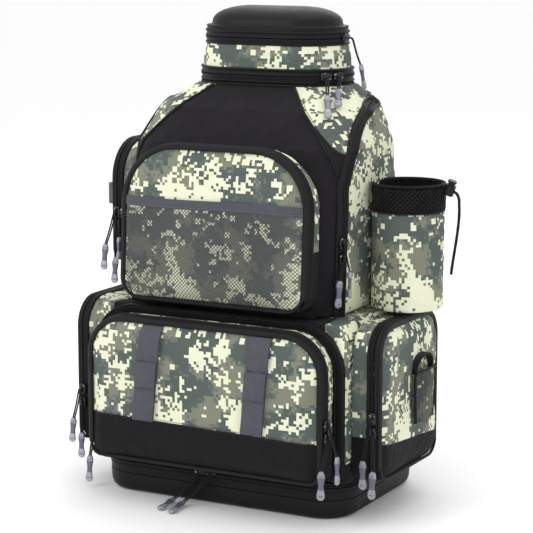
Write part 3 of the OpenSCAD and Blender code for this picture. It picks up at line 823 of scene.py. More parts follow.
# Each pocket's outline, as pocket_outline takes it, and its gusset's depth
DOOR_POCKET, DOOR_DEPTH = (-138, 138, 45, 199.5, 42, 14), 23.0
DOOR_EDGE = (-144, 144, 43.5, 203.4, 46, 14)
UPPER_POCKET, UPPER_DEPTH = (-109, 109, 3, 168, 62, 22), 19.0
SIDE_POCKET, SIDE_DEPTH = (-84, 62, 42, 204, 30, 20), 26.0
HIGH_POCKET, HIGH_DEPTH = (-46, 60, 240, 374, 42, 16), 24.0
GAP = 0.4  # between a gusset and its flap

# One half of a zip in section, from the zip line outwards: lip, channel and piping. (side, up)
HALF_ZIP = [(0.25, -0.8), (0.25, 1.0), (1.0, 1.75), (2.0, 1.8), (2.9, 0.9), (4.6, 0.8), (5.2, 1.7),
            (6.2, 2.3), (7.3, 1.8), (7.9, 0.6), (7.8, -0.8)]
# The same with the flap's binding, which wraps the rim and lies on the face with a piped edge
BOUND_ZIP = [(0.25, -0.8), (0.25, 1.0), (1.0, 1.75), (2.0, 1.8), (2.9, 0.9), (4.0, 0.9), (4.8, 1.4),
             (5.8, 1.3), (6.7, 0.3), (7.2, -1.2), (7.5, -2.8), (7.2, -4.2), (6.2, -4.8), (4.6, -4.4),
             (2.0, -3.4)]
COIL_STEP = 0.9  # between the beads of a zip's coil


def add_coil(piece, path, radius=0.55):
    piece.add(tube(path, radius, 6, beads=0.3), "zip")


def zip_half(piece, place, pocket, height, way, profile=HALF_ZIP):
    """One side of a pocket's zip. way is 1 for the flap's side and -1 for the gusset's."""
    points, ways = arch(pocket)
    path = place.at(points[:, 0], points[:, 1], height)
    ups = ways @ np.array([place.across, place.up])
    section = [(way * s, h) for s, h in profile]
    piece.add(sweep(path, ups, place.out, section), "zip")
    fine, fine_ways = arch(pocket, COIL_STEP)
    outward = fine_ways @ np.array([place.across, place.up])
    add_coil(piece, place.at(fine[:, 0], fine[:, 1], height + way * 0.95) + outward * 1.3)
    return piece


def stitches(piece, path, out, look="thread", pitch=3.2, length=2.1, lift=0.15):
    """A row of stitches along a path that lies on the cloth. out is the cloth's outward way."""
    path = np.asarray(path, float)
    ups = np.broadcast_to(np.asarray(out, float), path.shape)
    far = np.r_[0, np.cumsum(np.linalg.norm(np.diff(path, axis=0), axis=1))]
    for s in np.arange(pitch / 2, far[-1], pitch):
        here, near = ([np.interp(x, far, path[:, k]) for k in range(3)] for x in (s, min(s + 1, far[-1])))
        up = np.array([np.interp(s, far, ups[:, k]) for k in range(3)])
        along = np.array(near) - np.array(here)
        if np.linalg.norm(along) > 1e-6:
            centre = np.array(here) + up * lift
            piece.add(bar(centre, along, np.cross(up, along), length, 0.55, 0.5, 0.12), look)


def gusset_push(amount, seed):
    """Small folds and creases that move a gusset's cloth away from its middle or towards it."""
    def push(points):
        out = unit(points - points.mean(0))
        shift = folds(points, 34, seed) * 0.7 + ripple(points, 12, seed + 1) * 0.35
        return out * (shift * amount)[:, None]
    return push


def make_gussets():
    soft_shell("door_pocket_gusset", "front_pocket_gusset", "tray_door", "camo_fabric", "flap", 1.8,
               gusset_push(0.7, 5), inside_pocket(FRONT, DOOR_POCKET))
    soft_shell("upper_pocket_gusset", "upper_pocket_wall", "front_panel", "camo_fabric", "upper", 1.8,
               gusset_push(0.7, 8), inside_pocket(PANEL, UPPER_POCKET))
    for side, place in (("right", RIGHT), ("left", LEFT)):
        soft_shell("side_pocket_" + side, "side_pocket_wall_" + side, "pack", "camo_fabric", "flank", 1.9,
                   gusset_push(0.9, 11), inside_pocket(place, SIDE_POCKET))
    soft_shell("upper_side_pocket", "upper_side_wall", "pack", "camo_fabric", "camo", 1.9,
               gusset_push(0.8, 14), inside_pocket(UPPER_LEFT, HIGH_POCKET))


FLAPS = {}


def make_flaps():
    for flap, name, look, place, swell, wrinkle, seed in (
            ("front_flap", "front_flap_cloth", "flap", FRONT, 3.5, 0.5, 21),
            ("upper_flap", "upper_flap_cloth", "camo", PANEL, 4.0, 0.5, 24),
            ("side_flap_right", "side_flap_cloth_right", "flank", RIGHT, 4.0, 0.7, 27),
            ("side_flap_left", "side_flap_cloth_left", "flank", LEFT, 4.0, 0.7, 27),
            ("upper_side_flap", "upper_side_flap_cloth", "camo", UPPER_LEFT, 3.5, 0.6, 31)):
        FLAPS[flap] = padded_part(flap, name, flap, "camo_fabric", look, place, swell, wrinkle, seed)


def foot_piping(piece, place, pocket, depth):
    """Piping round the lower edge of a flap, where its zip stops."""
    points, ways = even_spread(*pocket_outline(pocket), 1.0, closed=True)
    order = one_run(points[:, 1] <= pocket[2] + ZIP_FOOT + 3)
    path, outward = even_spread(points[order], ways[order], 2.5)
    inward = path - outward * 2.2
    line = place.at(inward[:, 0], inward[:, 1], depth + GAP + 6.2)
    piece.add(tube(line, 1.7, 10), "strap")


def make_pocket_zips():
    door = Piece("front_pocket_zip_inner")
    zip_half(door, FRONT, DOOR_POCKET, DOOR_DEPTH, -1)
    rim_zip(door, -1)
    door.ride("tray_door", "zip_tape", "door_zip_tapes")
    for body, place, pocket, depth, tape in (
            ("front_flap", FRONT, DOOR_POCKET, DOOR_DEPTH, "flap_zip_tape"),
            ("upper_flap", PANEL, UPPER_POCKET, UPPER_DEPTH, "upper_flap_zip_tape"),
            ("side_flap_right", RIGHT, SIDE_POCKET, SIDE_DEPTH, "side_zip_tape_right"),
            ("side_flap_left", LEFT, SIDE_POCKET, SIDE_DEPTH, "side_zip_tape_left"),
            ("upper_side_flap", UPPER_LEFT, HIGH_POCKET, HIGH_DEPTH, "upper_side_zip_tape")):
        flap = zip_half(Piece(body + "_zip"), place, pocket, depth + GAP, 1, BOUND_ZIP)
        foot_piping(flap, place, pocket, depth)
        flap.ride(body, "zip_tape", tape)


def rim_zip(piece, way):
    """The zip round the tray door, flat on the pack's front. way 1 is the pack's side, -1 the door's."""
    points, ways = arch(DOOR_EDGE)
    height = 2.2
    path = DOOR_FACE.at(points[:, 0], points[:, 1], height) + (ways * way * GAP / 2) @ np.array([ASIDE, UP])
    sides = (ways * way) @ np.array([ASIDE, UP])
    reach = 0.62 if way > 0 else 0.7
    foot = -3.6 if way > 0 else -1.6
    section = [(s * reach, h if h > 0 else foot) for s, h in HALF_ZIP]
    piece.add(sweep(path, DOOR_FACE.out, sides, section), "zip")
    fine, fine_ways = arch(DOOR_EDGE, COIL_STEP)
    outward = (fine_ways * way) @ np.array([ASIDE, UP])
    add_coil(piece, DOOR_FACE.at(fine[:, 0], fine[:, 1], height + 1.4) + outward * 0.95)


# ---------------------------------------------------------------- the main compartment's shape

# At each height: half the width, the front, the back and the corners' radius
HEIGHTS = (207, 320, 378, 415, 438)
SECTIONS = ((124.5, MAIN_SIDE, 127, 118, 88), (-86, -82, -72, -45, -14),
            (100, 100, 98, 94, 90), (44, 42, 46, 52, 45))
# The main zip's line on a side, as depths and heights
MAIN_ZIP = ((-58, 207), (-57, 325), (-50, 352), (-34, 380), (-10, 402), (20, 416), (56, 422), (92, 423.5))
CASE_X, CASE_Y, CASE_R = 32, 38, 52  # the top case's two half circles
BASE_HALF, BASE_DEPTH, BASE_CORNER = 148, 100, 38
BASE_ZIP_Z, CASE_ZIP_Z, DOME_ZIP_Z = 34.8, 448.8, 487.8
DOME_LEAN = -4.6  # how far the case's outline has moved at its dome's zip, inwards below 0
BASE_ZIP_STOP, CASE_ZIP_STOP = 66, 78  # the depths where the zips stop


def shell_gap(p):
    """How far points are outside the main compartment, seen from above at their own height."""
    half, front, back, r = (np.interp(p[:, 2], HEIGHTS, row) for row in SECTIONS)
    qx = np.abs(p[:, 0]) - (half - r)
    qy = np.abs(p[:, 1] - (front + back) / 2) - ((back - front) / 2 - r)
    return np.hypot(np.maximum(qx, 0), np.maximum(qy, 0)) + np.minimum(np.maximum(qx, qy), 0) - r


def shell_normal(p):
    step = 1.5 * np.eye(3)
    return unit(np.column_stack([shell_gap(p + e) - shell_gap(p - e) for e in step]))


def onto_shell(points, lift=0.0):
    """Points moved onto the main compartment's surface, and the outward ways there."""
    p = np.array(points, float)
    for _ in range(6):
        n = shell_normal(p)
        p -= (shell_gap(p) * np.linalg.norm(n[:, :2], axis=1))[:, None] * n
    n = shell_normal(p)
    return p + lift * n, n


def main_zip_line(step):
    """The main zip's line from the right side's foot, over the back and down the left side."""
    flat = smooth_path([(0, y, z) for y, z in MAIN_ZIP], 3)[:, 1:]
    side = np.array([(np.interp(z, HEIGHTS, SECTIONS[0]), y, z) for y, z in flat if y < 62])
    half, back, r = (np.interp(423, HEIGHTS, SECTIONS[k]) for k in (0, 2, 3))
    turn = [math.radians(a) for a in range(8, 91, 8)]
    bend = np.array([(half - r + r * math.cos(a), back - r + r * math.sin(a), 422.4 + 1.1 * a / 1.57)
                     for a in turn])
    right = np.vstack([side, bend])
    whole = onto_shell(np.vstack([right, (right * (-1, 1, 1))[::-1]]))[0]
    return even_spread(whole, whole, step)[0]


def case_outline(grow=0.0):
    """The top case's outline from above: two half circles joined by straight runs."""
    r = CASE_R + grow
    return outline(((CASE_X, CASE_Y, r, -90), (CASE_X, CASE_Y, r, 0),
                    (-CASE_X, CASE_Y, r, 90), (-CASE_X, CASE_Y, r, 180)))


def case_taper(z):
    """How far the top case's outline moves out at a height, or in below 0."""
    return np.interp(z, (438, 446, 452, DOME_ZIP_Z), (0.6, 0.8, 0.2, DOME_LEAN))


def case_ring(z, grow, count=150):
    points, ways = ring_pick(*case_outline(), count)
    return np.column_stack([points + ways * (grow + case_taper(z)), np.full(count, z)])


def plan_outline(inset=0.0):
    """The base's outline from above."""
    half, depth, r = BASE_HALF - inset, BASE_DEPTH - inset, BASE_CORNER - inset
    return outline(((half - r, r - depth, r, -90), (half - r, depth - r, r, 0),
                    (r - half, depth - r, r, 90), (r - half, r - depth, r, 180)))


def plan_ring(half, z, count=170):
    """A ring round the base at height z, where its sides are this half width from its middle."""
    points, ways = ring_pick(*plan_outline(), count)
    return np.column_stack([points - ways * (BASE_HALF - half), np.full(count, z)])


def open_band(points, ways, stop, step):
    """An outline from above, up to the depth where its zip stops."""
    points, ways = even_spread(points, ways, 1.0, closed=True)
    order = one_run(points[:, 1] < stop)
    points, ways = even_spread(points[order], ways[order], step)
    level = np.zeros(len(points))
    return np.column_stack([points, level]), np.column_stack([ways, level])


def level_zip(piece, above, stop, z, way, profile=HALF_ZIP):
    """One half of a zip that runs level round the pack. way is 1 above the zip line and -1 below it."""
    points, ways = open_band(*above, stop, 3.0)
    piece.add(sweep(points + (0, 0, z), ways, UP, [(way * s, h) for s, h in profile]), "zip")
    fine, outward = open_band(*above, stop, COIL_STEP)
    add_coil(piece, fine + (0, 0, z + way * 0.95) + outward * 1.3)
    return piece


BASE_HALF_ZIP = [(0.25, -3.8), (0.25, 1.0), (1.0, 1.75), (2.0, 1.7), (2.8, 0.5), (4.2, 0.3), (5.0, 0.9),
                 (5.7, 0.3), (5.7, -3.8)]
MAIN_HALF_ZIP = [(0.25, -1.6), (0.25, 0.9), (1.0, 1.5), (2.0, 1.5), (2.8, 0.8), (4.6, 0.8), (5.2, 1.7),
                 (6.2, 2.2), (7.3, 1.7), (7.9, 0.4), (7.8, -1.6)]


def main_zip(piece, way):
    """One half of the main zip. way is 1 for the rear shell's side and -1 for the front panel's."""
    for step in (3.0, COIL_STEP):
        path, outward = onto_shell(main_zip_line(step))
        along = unit(np.gradient(path, axis=0))
        side = unit(np.cross(along, outward)) * way
        if step == COIL_STEP:
            add_coil(piece, path + side * 0.95 + outward * 1.25, 0.5)
        else:
            piece.add(sweep(path, outward, side, MAIN_HALF_ZIP), "zip")


def make_body_zips():
    """The zips round the base, the main compartment and the top case."""
    above_base = (plan_outline(), BASE_ZIP_STOP, BASE_ZIP_Z)
    low, high = ((case_outline(0.5), CASE_ZIP_STOP, CASE_ZIP_Z),
                 (case_outline(DOME_LEAN), CASE_ZIP_STOP, DOME_ZIP_Z))
    base = level_zip(Piece("base_zip"), *above_base, -1, BASE_HALF_ZIP)
    base.ride("base", "zip_tape", "base_zip_tape")
    pack = level_zip(Piece("pack_zips"), *above_base, 1, BASE_HALF_ZIP)
    rim_zip(pack, 1)
    zip_half(pack, RIGHT, SIDE_POCKET, SIDE_DEPTH, -1)
    zip_half(pack, LEFT, SIDE_POCKET, SIDE_DEPTH, -1)
    zip_half(pack, UPPER_LEFT, HIGH_POCKET, HIGH_DEPTH, -1)
    main_zip(pack, 1)
    pack.ride("pack", "zip_tape", "pack_zip_tapes")
    panel = zip_half(Piece("front_panel_zips"), PANEL, UPPER_POCKET, UPPER_DEPTH, -1)
    main_zip(panel, -1)
    level_zip(panel, *low, -1)
    panel.ride("front_panel", "zip_tape", "front_zip_tapes")
    case = level_zip(Piece("case_zips"), *low, 1)
    level_zip(case, *high, -1)
    case.ride("case", "zip_tape", "case_zip_tapes")
    level_zip(Piece("dome_zip"), *high, 1).ride("case_dome", "zip_tape", "dome_zip_tape")


# ---------------------------------------------------------------- shells and moulded parts

def boxward(points, centre, half):
    """Outward ways of a box with soft corners, which change smoothly with the place."""
    q = (points - np.asarray(centre)) / np.asarray(half)
    return unit(np.sign(q) * np.abs(q) ** 7 + 1e-9)


def make_shells():
    """The compartments' cloth. A push_ function moves the cloth and an inside_ one finds its inner faces."""

    def push_lower(points):
        sag = folds(points, 70, 41, (1, 1, 0.6)) * 0.9 + ripple(points, 19, 42) * 0.35
        x, y, z = np.abs(points[:, 0]), points[:, 1], points[:, 2]
        loose = np.clip((x - 133) / 8, 0, 1) * np.clip((z - 172) / 22, 0, 1) * np.clip((y + 88) / 16, 0, 1)
        sag = sag + loose * (1.4 + folds(points, 44, 43) * 2.2) * np.clip((92 - y) / 14, 0, 1)
        return boxward(points, LOWER_CENTRE, LOWER_HALF) * sag[:, None]

    def push_main(points):
        sag = folds(points, 74, 44) * 1.1 + ripple(points, 21, 45) * 0.4
        away = np.clip((points[:, 2] - 209) / 14, 0, 1) * np.clip((436 - points[:, 2]) / 10, 0, 1)
        line = smooth_path([(0, y, z) for y, z in MAIN_ZIP], 6)[:, 1:]
        near = np.min(np.linalg.norm(points[:, None, 1:] - line[None], axis=2), axis=1)
        away *= np.clip((near - 7) / 14, 0.1, 1)
        return shell_normal(points) * (sag * away)[:, None]

    def push_door(points):
        return AHEAD * (ripple(points, 30, 46) * 0.12)[:, None]

    def push_case(points):
        centre = np.column_stack([np.clip(points[:, 0], -CASE_X, CASE_X), np.full(len(points), CASE_Y),
                                  points[:, 2]])
        lean = case_taper(points[:, 2]) * np.clip(np.linalg.norm(points - centre, axis=1) / 40, 0, 1)
        calm = np.clip(np.minimum(points[:, 2] - 457, 479 - points[:, 2]) / 7, 0, 1)
        sag = folds(points, 40, 47) * 0.7 + ripple(points, 13, 48) * 0.3 + 0.5
        return unit(points - centre) * (lean + sag * calm)[:, None]

    def inside_lower(points):
        x, y, z = points.T
        half = np.interp(z, (190, 207), (LOWER_HALF[0], 143))
        gap = rounded_gap(x, y - LOWER_CENTRE[1], half, LOWER_HALF[1], np.where(y > 0, 24, 8))
        return (gap < -1.6) & (z > 42.3) & (z < 205.5)

    def inside_main(points):
        return (shell_gap(points) < -1.7) & (points[:, 2] > 208.5) & (points[:, 2] < 436.4)

    def inside_case(points):
        span_x = np.maximum(np.abs(points[:, 0]) - CASE_X, 0)
        return np.hypot(span_x, points[:, 1] - CASE_Y) < CASE_R - 1.6

    soft_shell("lower_shell", "lower_compartment_cloth", "pack", "camo_fabric", "lower", 2.4, push_lower,
               inside_lower)
    soft_shell("rear_shell", "main_compartment_cloth", "pack", "camo_fabric", "rear", 2.4, push_main,
               inside_main)
    soft_shell("front_panel", "front_panel_cloth", "front_panel", "black_fabric", "panel", 1.7, push_main,
               inside_main)
    soft_shell("tray_door", "tray_door_cloth", "tray_door", "black_fabric", "black", 2.0, push_door)
    soft_shell("case_body", "case_wall_cloth", "case", "camo_fabric", "camo", 1.8, push_case, inside_case)


def make_dome():
    skin = ((488.0, -3.0), (488.0, 0), (489, 0.2), (497.6, 0.4), (498.6, 0.1), (499.2, -1.0),
            (499.6, -3.2), (500.4, -4.6), (502, -5.2), (506, -5.9), (509.5, -8.2), (512.6, -12.2),
            (515.2, -17.4), (517.2, -23.4), (518.7, -30), (519.7, -38), (520.2, -43), (520.3, -46.6))
    lining = ((517.4, -46.4), (517.2, -40), (515.4, -28), (511.4, -18.5), (506.5, -12.5), (501, -8.6),
              (498, -5), (496, -3.2), (488.0, -3.0))
    dome = Piece("dome_shell")
    for steps in (skin, lining):
        dome.add(loft([case_ring(z, grow) for z, grow in steps]), "eva")
    seam = case_ring(498.9, 0.1, 300)
    dome.add(tube(seam, 0.8, closed=True), "strap")
    dome.ride("case_dome", "moulded_shell", "case_dome")


def make_base():
    outer = [(130, 3.6), (138.0, 0.0), (141.0, 0.5), (143.6, 1.8), (145.9, 4.4), (147.2, 8.5), (147.8, 14),
             (148, 20.2), (147.2, 20.8), (147.2, 21.8), (148, 22.4), (148, 26.2), (148.5, 27), (148.5, 29.2),
             (148, 29.5)]
    inner = [(144.6, 29.5), (144, 29), (144, 17), (137, 9), (132, 4.8), (128, 4.0)]
    base = Piece("base_shell").add(loft([plan_ring(half, z) for half, z in outer + inner]), "eva")
    for x in (-104, -52, 0, 52, 104):
        base.add(bar(np.array([x, 0, 1.5]), -AHEAD, ASIDE, 150, 12, 3.0, 1.2), "eva")
    base.ride("base", "moulded_shell", "base_tray")


def ruffles(turn):
    """The collar's waves round the sleeve, about -1 to 1."""
    return np.sin(turn * 17 + 1.2 * np.sin(turn * 4))


def make_bottle_sleeve():
    centre = np.array([SLEEVE_X, SLEEVE_Y, 0])

    def pushed(points, amount):
        """The move outwards by amount, which fades out towards the pack."""
        near = np.clip((points[:, 0] - SLEEVE_SEAM_X) / 12, 0, 1)
        return unit((points - centre) * (1, 1, 0)) * (amount * near)[:, None]

    def push(points):
        return pushed(points, folds(points, 38, 51, (1, 1, 0.7)) * 0.8 + ripple(points, 13, 52) * 0.35)

    def ruffle(points):
        turn = np.arctan2(points[:, 1] - SLEEVE_Y, points[:, 0] - SLEEVE_X)
        rise = np.clip((points[:, 2] - 316) / 20, 0, 1)
        wave = (ruffles(turn) * 0.9 + np.sin(turn * 31 + 2) * 0.45) * rise
        pinch = -1.4 * np.exp(-((points[:, 2] - 332.0) / 3.2) ** 2)
        return pushed(points, wave + pinch - 0.2)

    def inside(points):
        return (np.hypot(points[:, 0] - SLEEVE_X, points[:, 1] - SLEEVE_Y) < 36.5) & (points[:, 2] > 210.5)

    def round_sleeve(turn, r, z):
        path = np.column_stack([SLEEVE_X + r * np.cos(turn), SLEEVE_Y + r * np.sin(turn), z])
        return path[path[:, 0] > SLEEVE_SEAM_X - 1.5]

    def ring(r, z):
        turn = np.radians(np.linspace(-162, 162, 150))
        return round_sleeve(turn, r, np.full(len(turn), z))

    soft_shell("bottle_sleeve", "bottle_sleeve_cloth", "pack", "camo_fabric", "sleeve", 1.8, push, inside)
    soft_shell("bottle_collar", "bottle_collar_knit", "pack", "black_mesh", "knit", 1.2, ruffle)
    trim = Piece("bottle_sleeve_seams")
    rise = np.arange(0, 24, 1.6)
    for way in (1, -1):
        for start in np.arange(-135, 136, 7.5):
            turn = np.radians(start + way * rise * 1.5)
            r = 38.5 + 0.5 * way + np.clip((rise - 3) / 20, 0, 1) * ruffles(turn) * 0.8
            path = round_sleeve(turn, r, 315 + rise)
            if len(path) == len(rise):
                trim.add(tube(path, 0.55, 4), "dark_net")
    trim.add(tube(ring(38.2, 313), 1.0), "strap")
    trim.add(tube(ring(38.4, 341.2), 1.1), "strap")
    stitches(trim, ring(38.9, 310.4), ASIDE, "pale_thread")
    trim.ride("pack", "black_fabric")


# ---------------------------------------------------------------- sliders and pulls

# Half a slider's outline: along it, and out from its middle
SLIDER_PLAN = ((-6.2, 2.2), (-5.6, 3.1), (-3.0, 3.9), (0.0, 4.3), (3.0, 4.4), (5.4, 3.7), (6.2, 2.4))


def grip_shape(piece, b, c, side):
    """A moulded pull from b to c: wide at both ends, waisted in the middle, clear at its tips."""
    along, side = unit(c - b), unit(np.asarray(side, float))
    flat = np.cross(along, side)
    length = np.linalg.norm(c - b)
    stops = ((0.0, 1.7, 1.5), (0.04, 2.6, 1.9), (0.12, 3.6, 2.0), (0.22, 4.0, 2.0), (0.36, 3.3, 1.7),
             (0.5, 2.7, 1.5), (0.64, 3.1, 1.7), (0.78, 4.0, 2.0), (0.88, 4.2, 2.0), (0.95, 3.3, 1.8),
             (0.985, 2.0, 1.2), (1.0, 0.9, 0.6))
    angles = [2 * math.pi * (k + 0.5) / 16 for k in range(16)]
    rings = []
    for share, wide, thick in stops:
        ring = [(math.copysign(abs(math.cos(a)) ** 0.55, math.cos(a)) * wide,
                 math.copysign(abs(math.sin(a)) ** 0.7, math.sin(a)) * thick) for a in angles]
        rings.append([b + along * (share * length) + s * side + f * flat for s, f in ring])
    for first, last, look in ((0, 4, "tip"), (4, 7, "grip"), (7, 12, "tip")):
        piece.add(loft(rings[max(first - 1, 0):last]), look)
    for share in (0.16, 0.84):
        for s in (-1, 1):
            centre = b + along * share * length + s * flat * 1.9
            piece.add(bar(centre, side, along, 4.6, 0.9, 0.5, 0.2), "grip")


def slider(name, at, out, along, a, b, c, level=False):
    """A zip slider with its bail, the looped cord on it and the moulded pull.

    The cord runs from the bail by a to b, and the pull from b to c. level lays the pull's broad side level.
    """
    at, out, along, a, b, c = (np.asarray(v, float) for v in (at, out, along, a, b, c))
    out, along = unit(out), unit(along)
    side = np.cross(along, out)
    piece = Piece(name + "_assembly")
    plan = [*SLIDER_PLAN, *((s, -w) for s, w in SLIDER_PLAN[::-1])]
    rings = []
    for h, inset in ((-0.9, 1.0), (-0.9, 0.35), (0.2, 0.1), (1.2, 0.1), (1.9, 0.7), (2.0, 1.4)):
        rings.append([at + along * s * (1 - inset / 6.5) + side * w * (1 - inset / 4.6) + out * h
                      for s, w in plan])
    piece.add(loft(rings), "metal")
    bail = [at + along * (3.6 * math.cos(t)) + out * (1.7 + 2.9 * math.sin(t))
            for t in np.linspace(0, math.pi, 13)]
    piece.add(tube(bail, 0.75), "metal")
    ways = unit(c - b)
    azimuth, tilt = math.atan2(ways[1], ways[0]), math.acos(ways[2])
    upright = (math.cos(tilt) * math.cos(azimuth), math.cos(tilt) * math.sin(azimuth), -math.sin(tilt))
    broad = np.array((-math.sin(azimuth), math.cos(azimuth), 0) if level else upright)
    top = at + out * 3.4
    down = unit(b - top)
    lane = unit(broad - down * (broad @ down))
    sag = np.array([0, 0, -1.0]) * min(3.0, np.linalg.norm(b - top) * 0.06)
    one, two = ([b + lane * s + ways * 1.5, (a + b) / 2 + lane * s * 1.15 + sag, a + lane * s * 1.2,
                 top + lane * s * 0.9 + out * 0.5] for s in (1, -1))
    piece.add(tube(smooth_path(one + two[::-1], 2.2), 0.85), "braid")
    grip_shape(piece, b - ways * 0.5, c, broad)
    piece.ride(name, "zip_pull", name)


def make_sliders():
    up, down = (0, 0, 1), (0, 0, -1)
    base_y, zip_y = -101.6, -124.0
    slider("base_slider_left", (-18.5, base_y, 35.8), AHEAD, ASIDE,
           (-18.5, -106, 34), (-44, -114, 4.5), (-42, -147, 2.4), True)
    slider("base_slider_right", (-5.5, base_y, 35.8), AHEAD, (-1, 0, 0),
           (-5.5, -106, 34), (-29, -119, 4.5), (-26, -152, 2.4), True)
    slider("flap_slider_upper", (140.8, zip_y, 109), ASIDE, up,
           (144.4, -124.5, 108.5), (154, -125, 78), (154.2, -125, 49), True)
    slider("flap_slider_lower", (140.8, zip_y, 95), ASIDE, down,
           (144.4, -125, 94.5), (141.6, -136, 64), (141, -136.2, 34))
    slider("door_slider", (-144.2, -102.6, 96), AHEAD, up,
           (-146, -106, 92), (-154.4, -106, 36), (-156.4, -106, 6))
    lean = (math.cos(math.radians(22)), -math.sin(math.radians(22)), 0)
    slider("main_slider_upper", (125.4, -58, 284), lean, up,
           (128.9, -59.4, 283.5), (135, -58.5, 256), (134, -57, 228))
    slider("main_slider_lower", (125.4, -58, 268), lean, down,
           (128.9, -59.6, 267.5), (128, -68, 247), (127, -70, 219))
    on = PANEL.at
    slider("upper_pocket_slider", on(-111.8, 92, 19), (-1, 0, 0), PANEL.up,
           on(-115, 89, 21), on(-115, 66, 21), on(-115, 42, 21))
    for name, angle, z, route, way in (
            ("case_slider_front", -38, CASE_ZIP_Z, ((78.2, 2, 448.3), (89, -20, 431), (103, -46, 411)), -1),
            ("case_slider_rear", -22, CASE_ZIP_Z, ((86.3, 16, 448.3), (93, -3, 436), (104, -25, 421)), 1),
            ("dome_slider", -2, DOME_ZIP_Z, ((90.6, 36, 487.3), (99.7, 38, 460), (103, 41, 434)), 1)):
        t = math.radians(angle)
        out = (math.cos(t), math.sin(t), 0)
        along = (-math.sin(t) * way, math.cos(t) * way, 0)
        reach = 54.8 + float(case_taper(z))
        at = (CASE_X + reach * out[0], CASE_Y + reach * out[1], z)
        slider(name, at, out, along, *route, True)
    for name, at, way, route in (
            ("side_slider_right_upper", (175, -86.8, 112), up,
             ((173.6, -91, 111.5), (167.5, -93.5, 68), (167.6, -93.5, 38))),
            ("side_slider_right_lower", (175, -86.8, 96.6), down,
             ((176.4, -91, 96.1), (179, -93.5, 58), (177.4, -93.5, 29))),
            ("side_slider_left_upper", (-175, -86.8, 104), up,
             ((-176.4, -91, 103.5), (-183.4, -93.5, 72), (-186, -93.5, 44))),
            ("side_slider_left_lower", (-175, -86.8, 89), down,
             ((-174.6, -91, 88.5), (-173.4, -93.5, 56), (-174, -93.5, 28))),
            ("upper_side_slider_upper", (-152, -48.8, 297), up,
             ((-152.4, -52.8, 296.5), (-162, -57, 262), (-165, -57, 233))),
            ("upper_side_slider_lower", (-152, -48.8, 282), down,
             ((-150.6, -52.8, 281.5), (-150, -56, 247), (-152, -56, 219)))):
        slider(name, at, AHEAD, way, *route)


# ---------------------------------------------------------------- trims on the front

def laid_strip(piece, surface, centre, side, way, width, thick, look, columns=6):
    """A flat strip laid on a surface along a centre line. side is its width's way, way is into the surface.

    Returns the lines along the strip, where they lie on the surface.
    """
    centre = np.asarray(centre, float)
    side, way = unit(np.asarray(side, float)), unit(np.asarray(way, float))
    lines = np.array([surface.under(centre + side * width * (k / columns - 0.5), way)[0]
                      for k in range(columns + 1)])
    rings = [np.vstack([row - way * thick, (row + way * 0.4)[::-1]]) for row in lines.transpose(1, 0, 2)]
    piece.add(loft(rings), look)
    return lines


def make_front_trims():
    face = Surface(FLAPS["front_flap"])
    piece = Piece("front_webbing")
    into = (0, 1, 0)
    section = [(-12.3, 0.0), (-12.3, 0.9), (-11.7, 1.2), (11.7, 1.2), (12.3, 0.9), (12.3, 0.0)]
    ends = (92, 195)
    for x0, x1, rows in ((-68, -57.5, (127, 157)), (61.5, 71, (128, 159.5))):
        z = np.linspace(*ends, 60)
        line = np.column_stack([np.interp(z, ends, (x0, x1)), np.full(60, -131), z])
        laid_strip(piece, face, line, ASIDE, into, 25, 1.2, "webbing")
        along = unit(line[-1] - line[0])
        stops = (92.5, *rows, 194.5)  # the heights where the strap is sewn down between its loops
        for low, high, rise in zip(stops, stops[1:], (3.0, 4.4, 2.4)):
            t = np.linspace(0, 1, 15)
            loop = np.array([np.interp(low + (high - low) * t, z, line[:, k]) for k in range(3)]).T
            landed = face.under(loop, into)[0]
            swell = 1.2 + rise * np.sin(t * math.pi) ** 0.55
            lean = 1.5 * np.sin(t * math.pi)
            lift = landed + AHEAD * swell[:, None] + ASIDE * lean[:, None]
            piece.add(sweep(lift, AHEAD, ASIDE, section), "webbing")
        # The stops are sewn in the dark thread: real stitching, whose dark colour is also painted shade for
        # the fold lines there.
        for at in stops:
            here = np.array([np.interp(min(max(at, 94), 193), z, line[:, k]) for k in range(3)])
            for off in (-0.5, 0.5):
                row = here + along * off + np.multiply.outer(np.linspace(-11, 11, 23), ASIDE)
                landed = face.under(row, into)[0] + AHEAD * 2.35
                stitches(piece, landed, AHEAD, "thread", 1.9, 1.5, 0)
    piece.ride("front_flap", "grey_webbing", "webbing_straps")
    ridge = Piece("front_flap_seam")
    x = np.linspace(-130, 131, 90)
    line = np.column_stack([x, np.full(90, -131), 91.5 - 0.02 * x])
    landed, normal = face.under(line, into, 0.1)
    welt = [(-1.3, -0.5), (-1.1, 0.5), (0, 0.8), (1.1, 0.5), (1.3, -0.5)]
    ridge.add(sweep(landed, normal, UP, welt), "strap")
    stitches(ridge, landed + UP * 2.6, AHEAD, "thread", 3.2, 2.1, 0.2)
    ridge.ride("front_flap", "black_fabric")


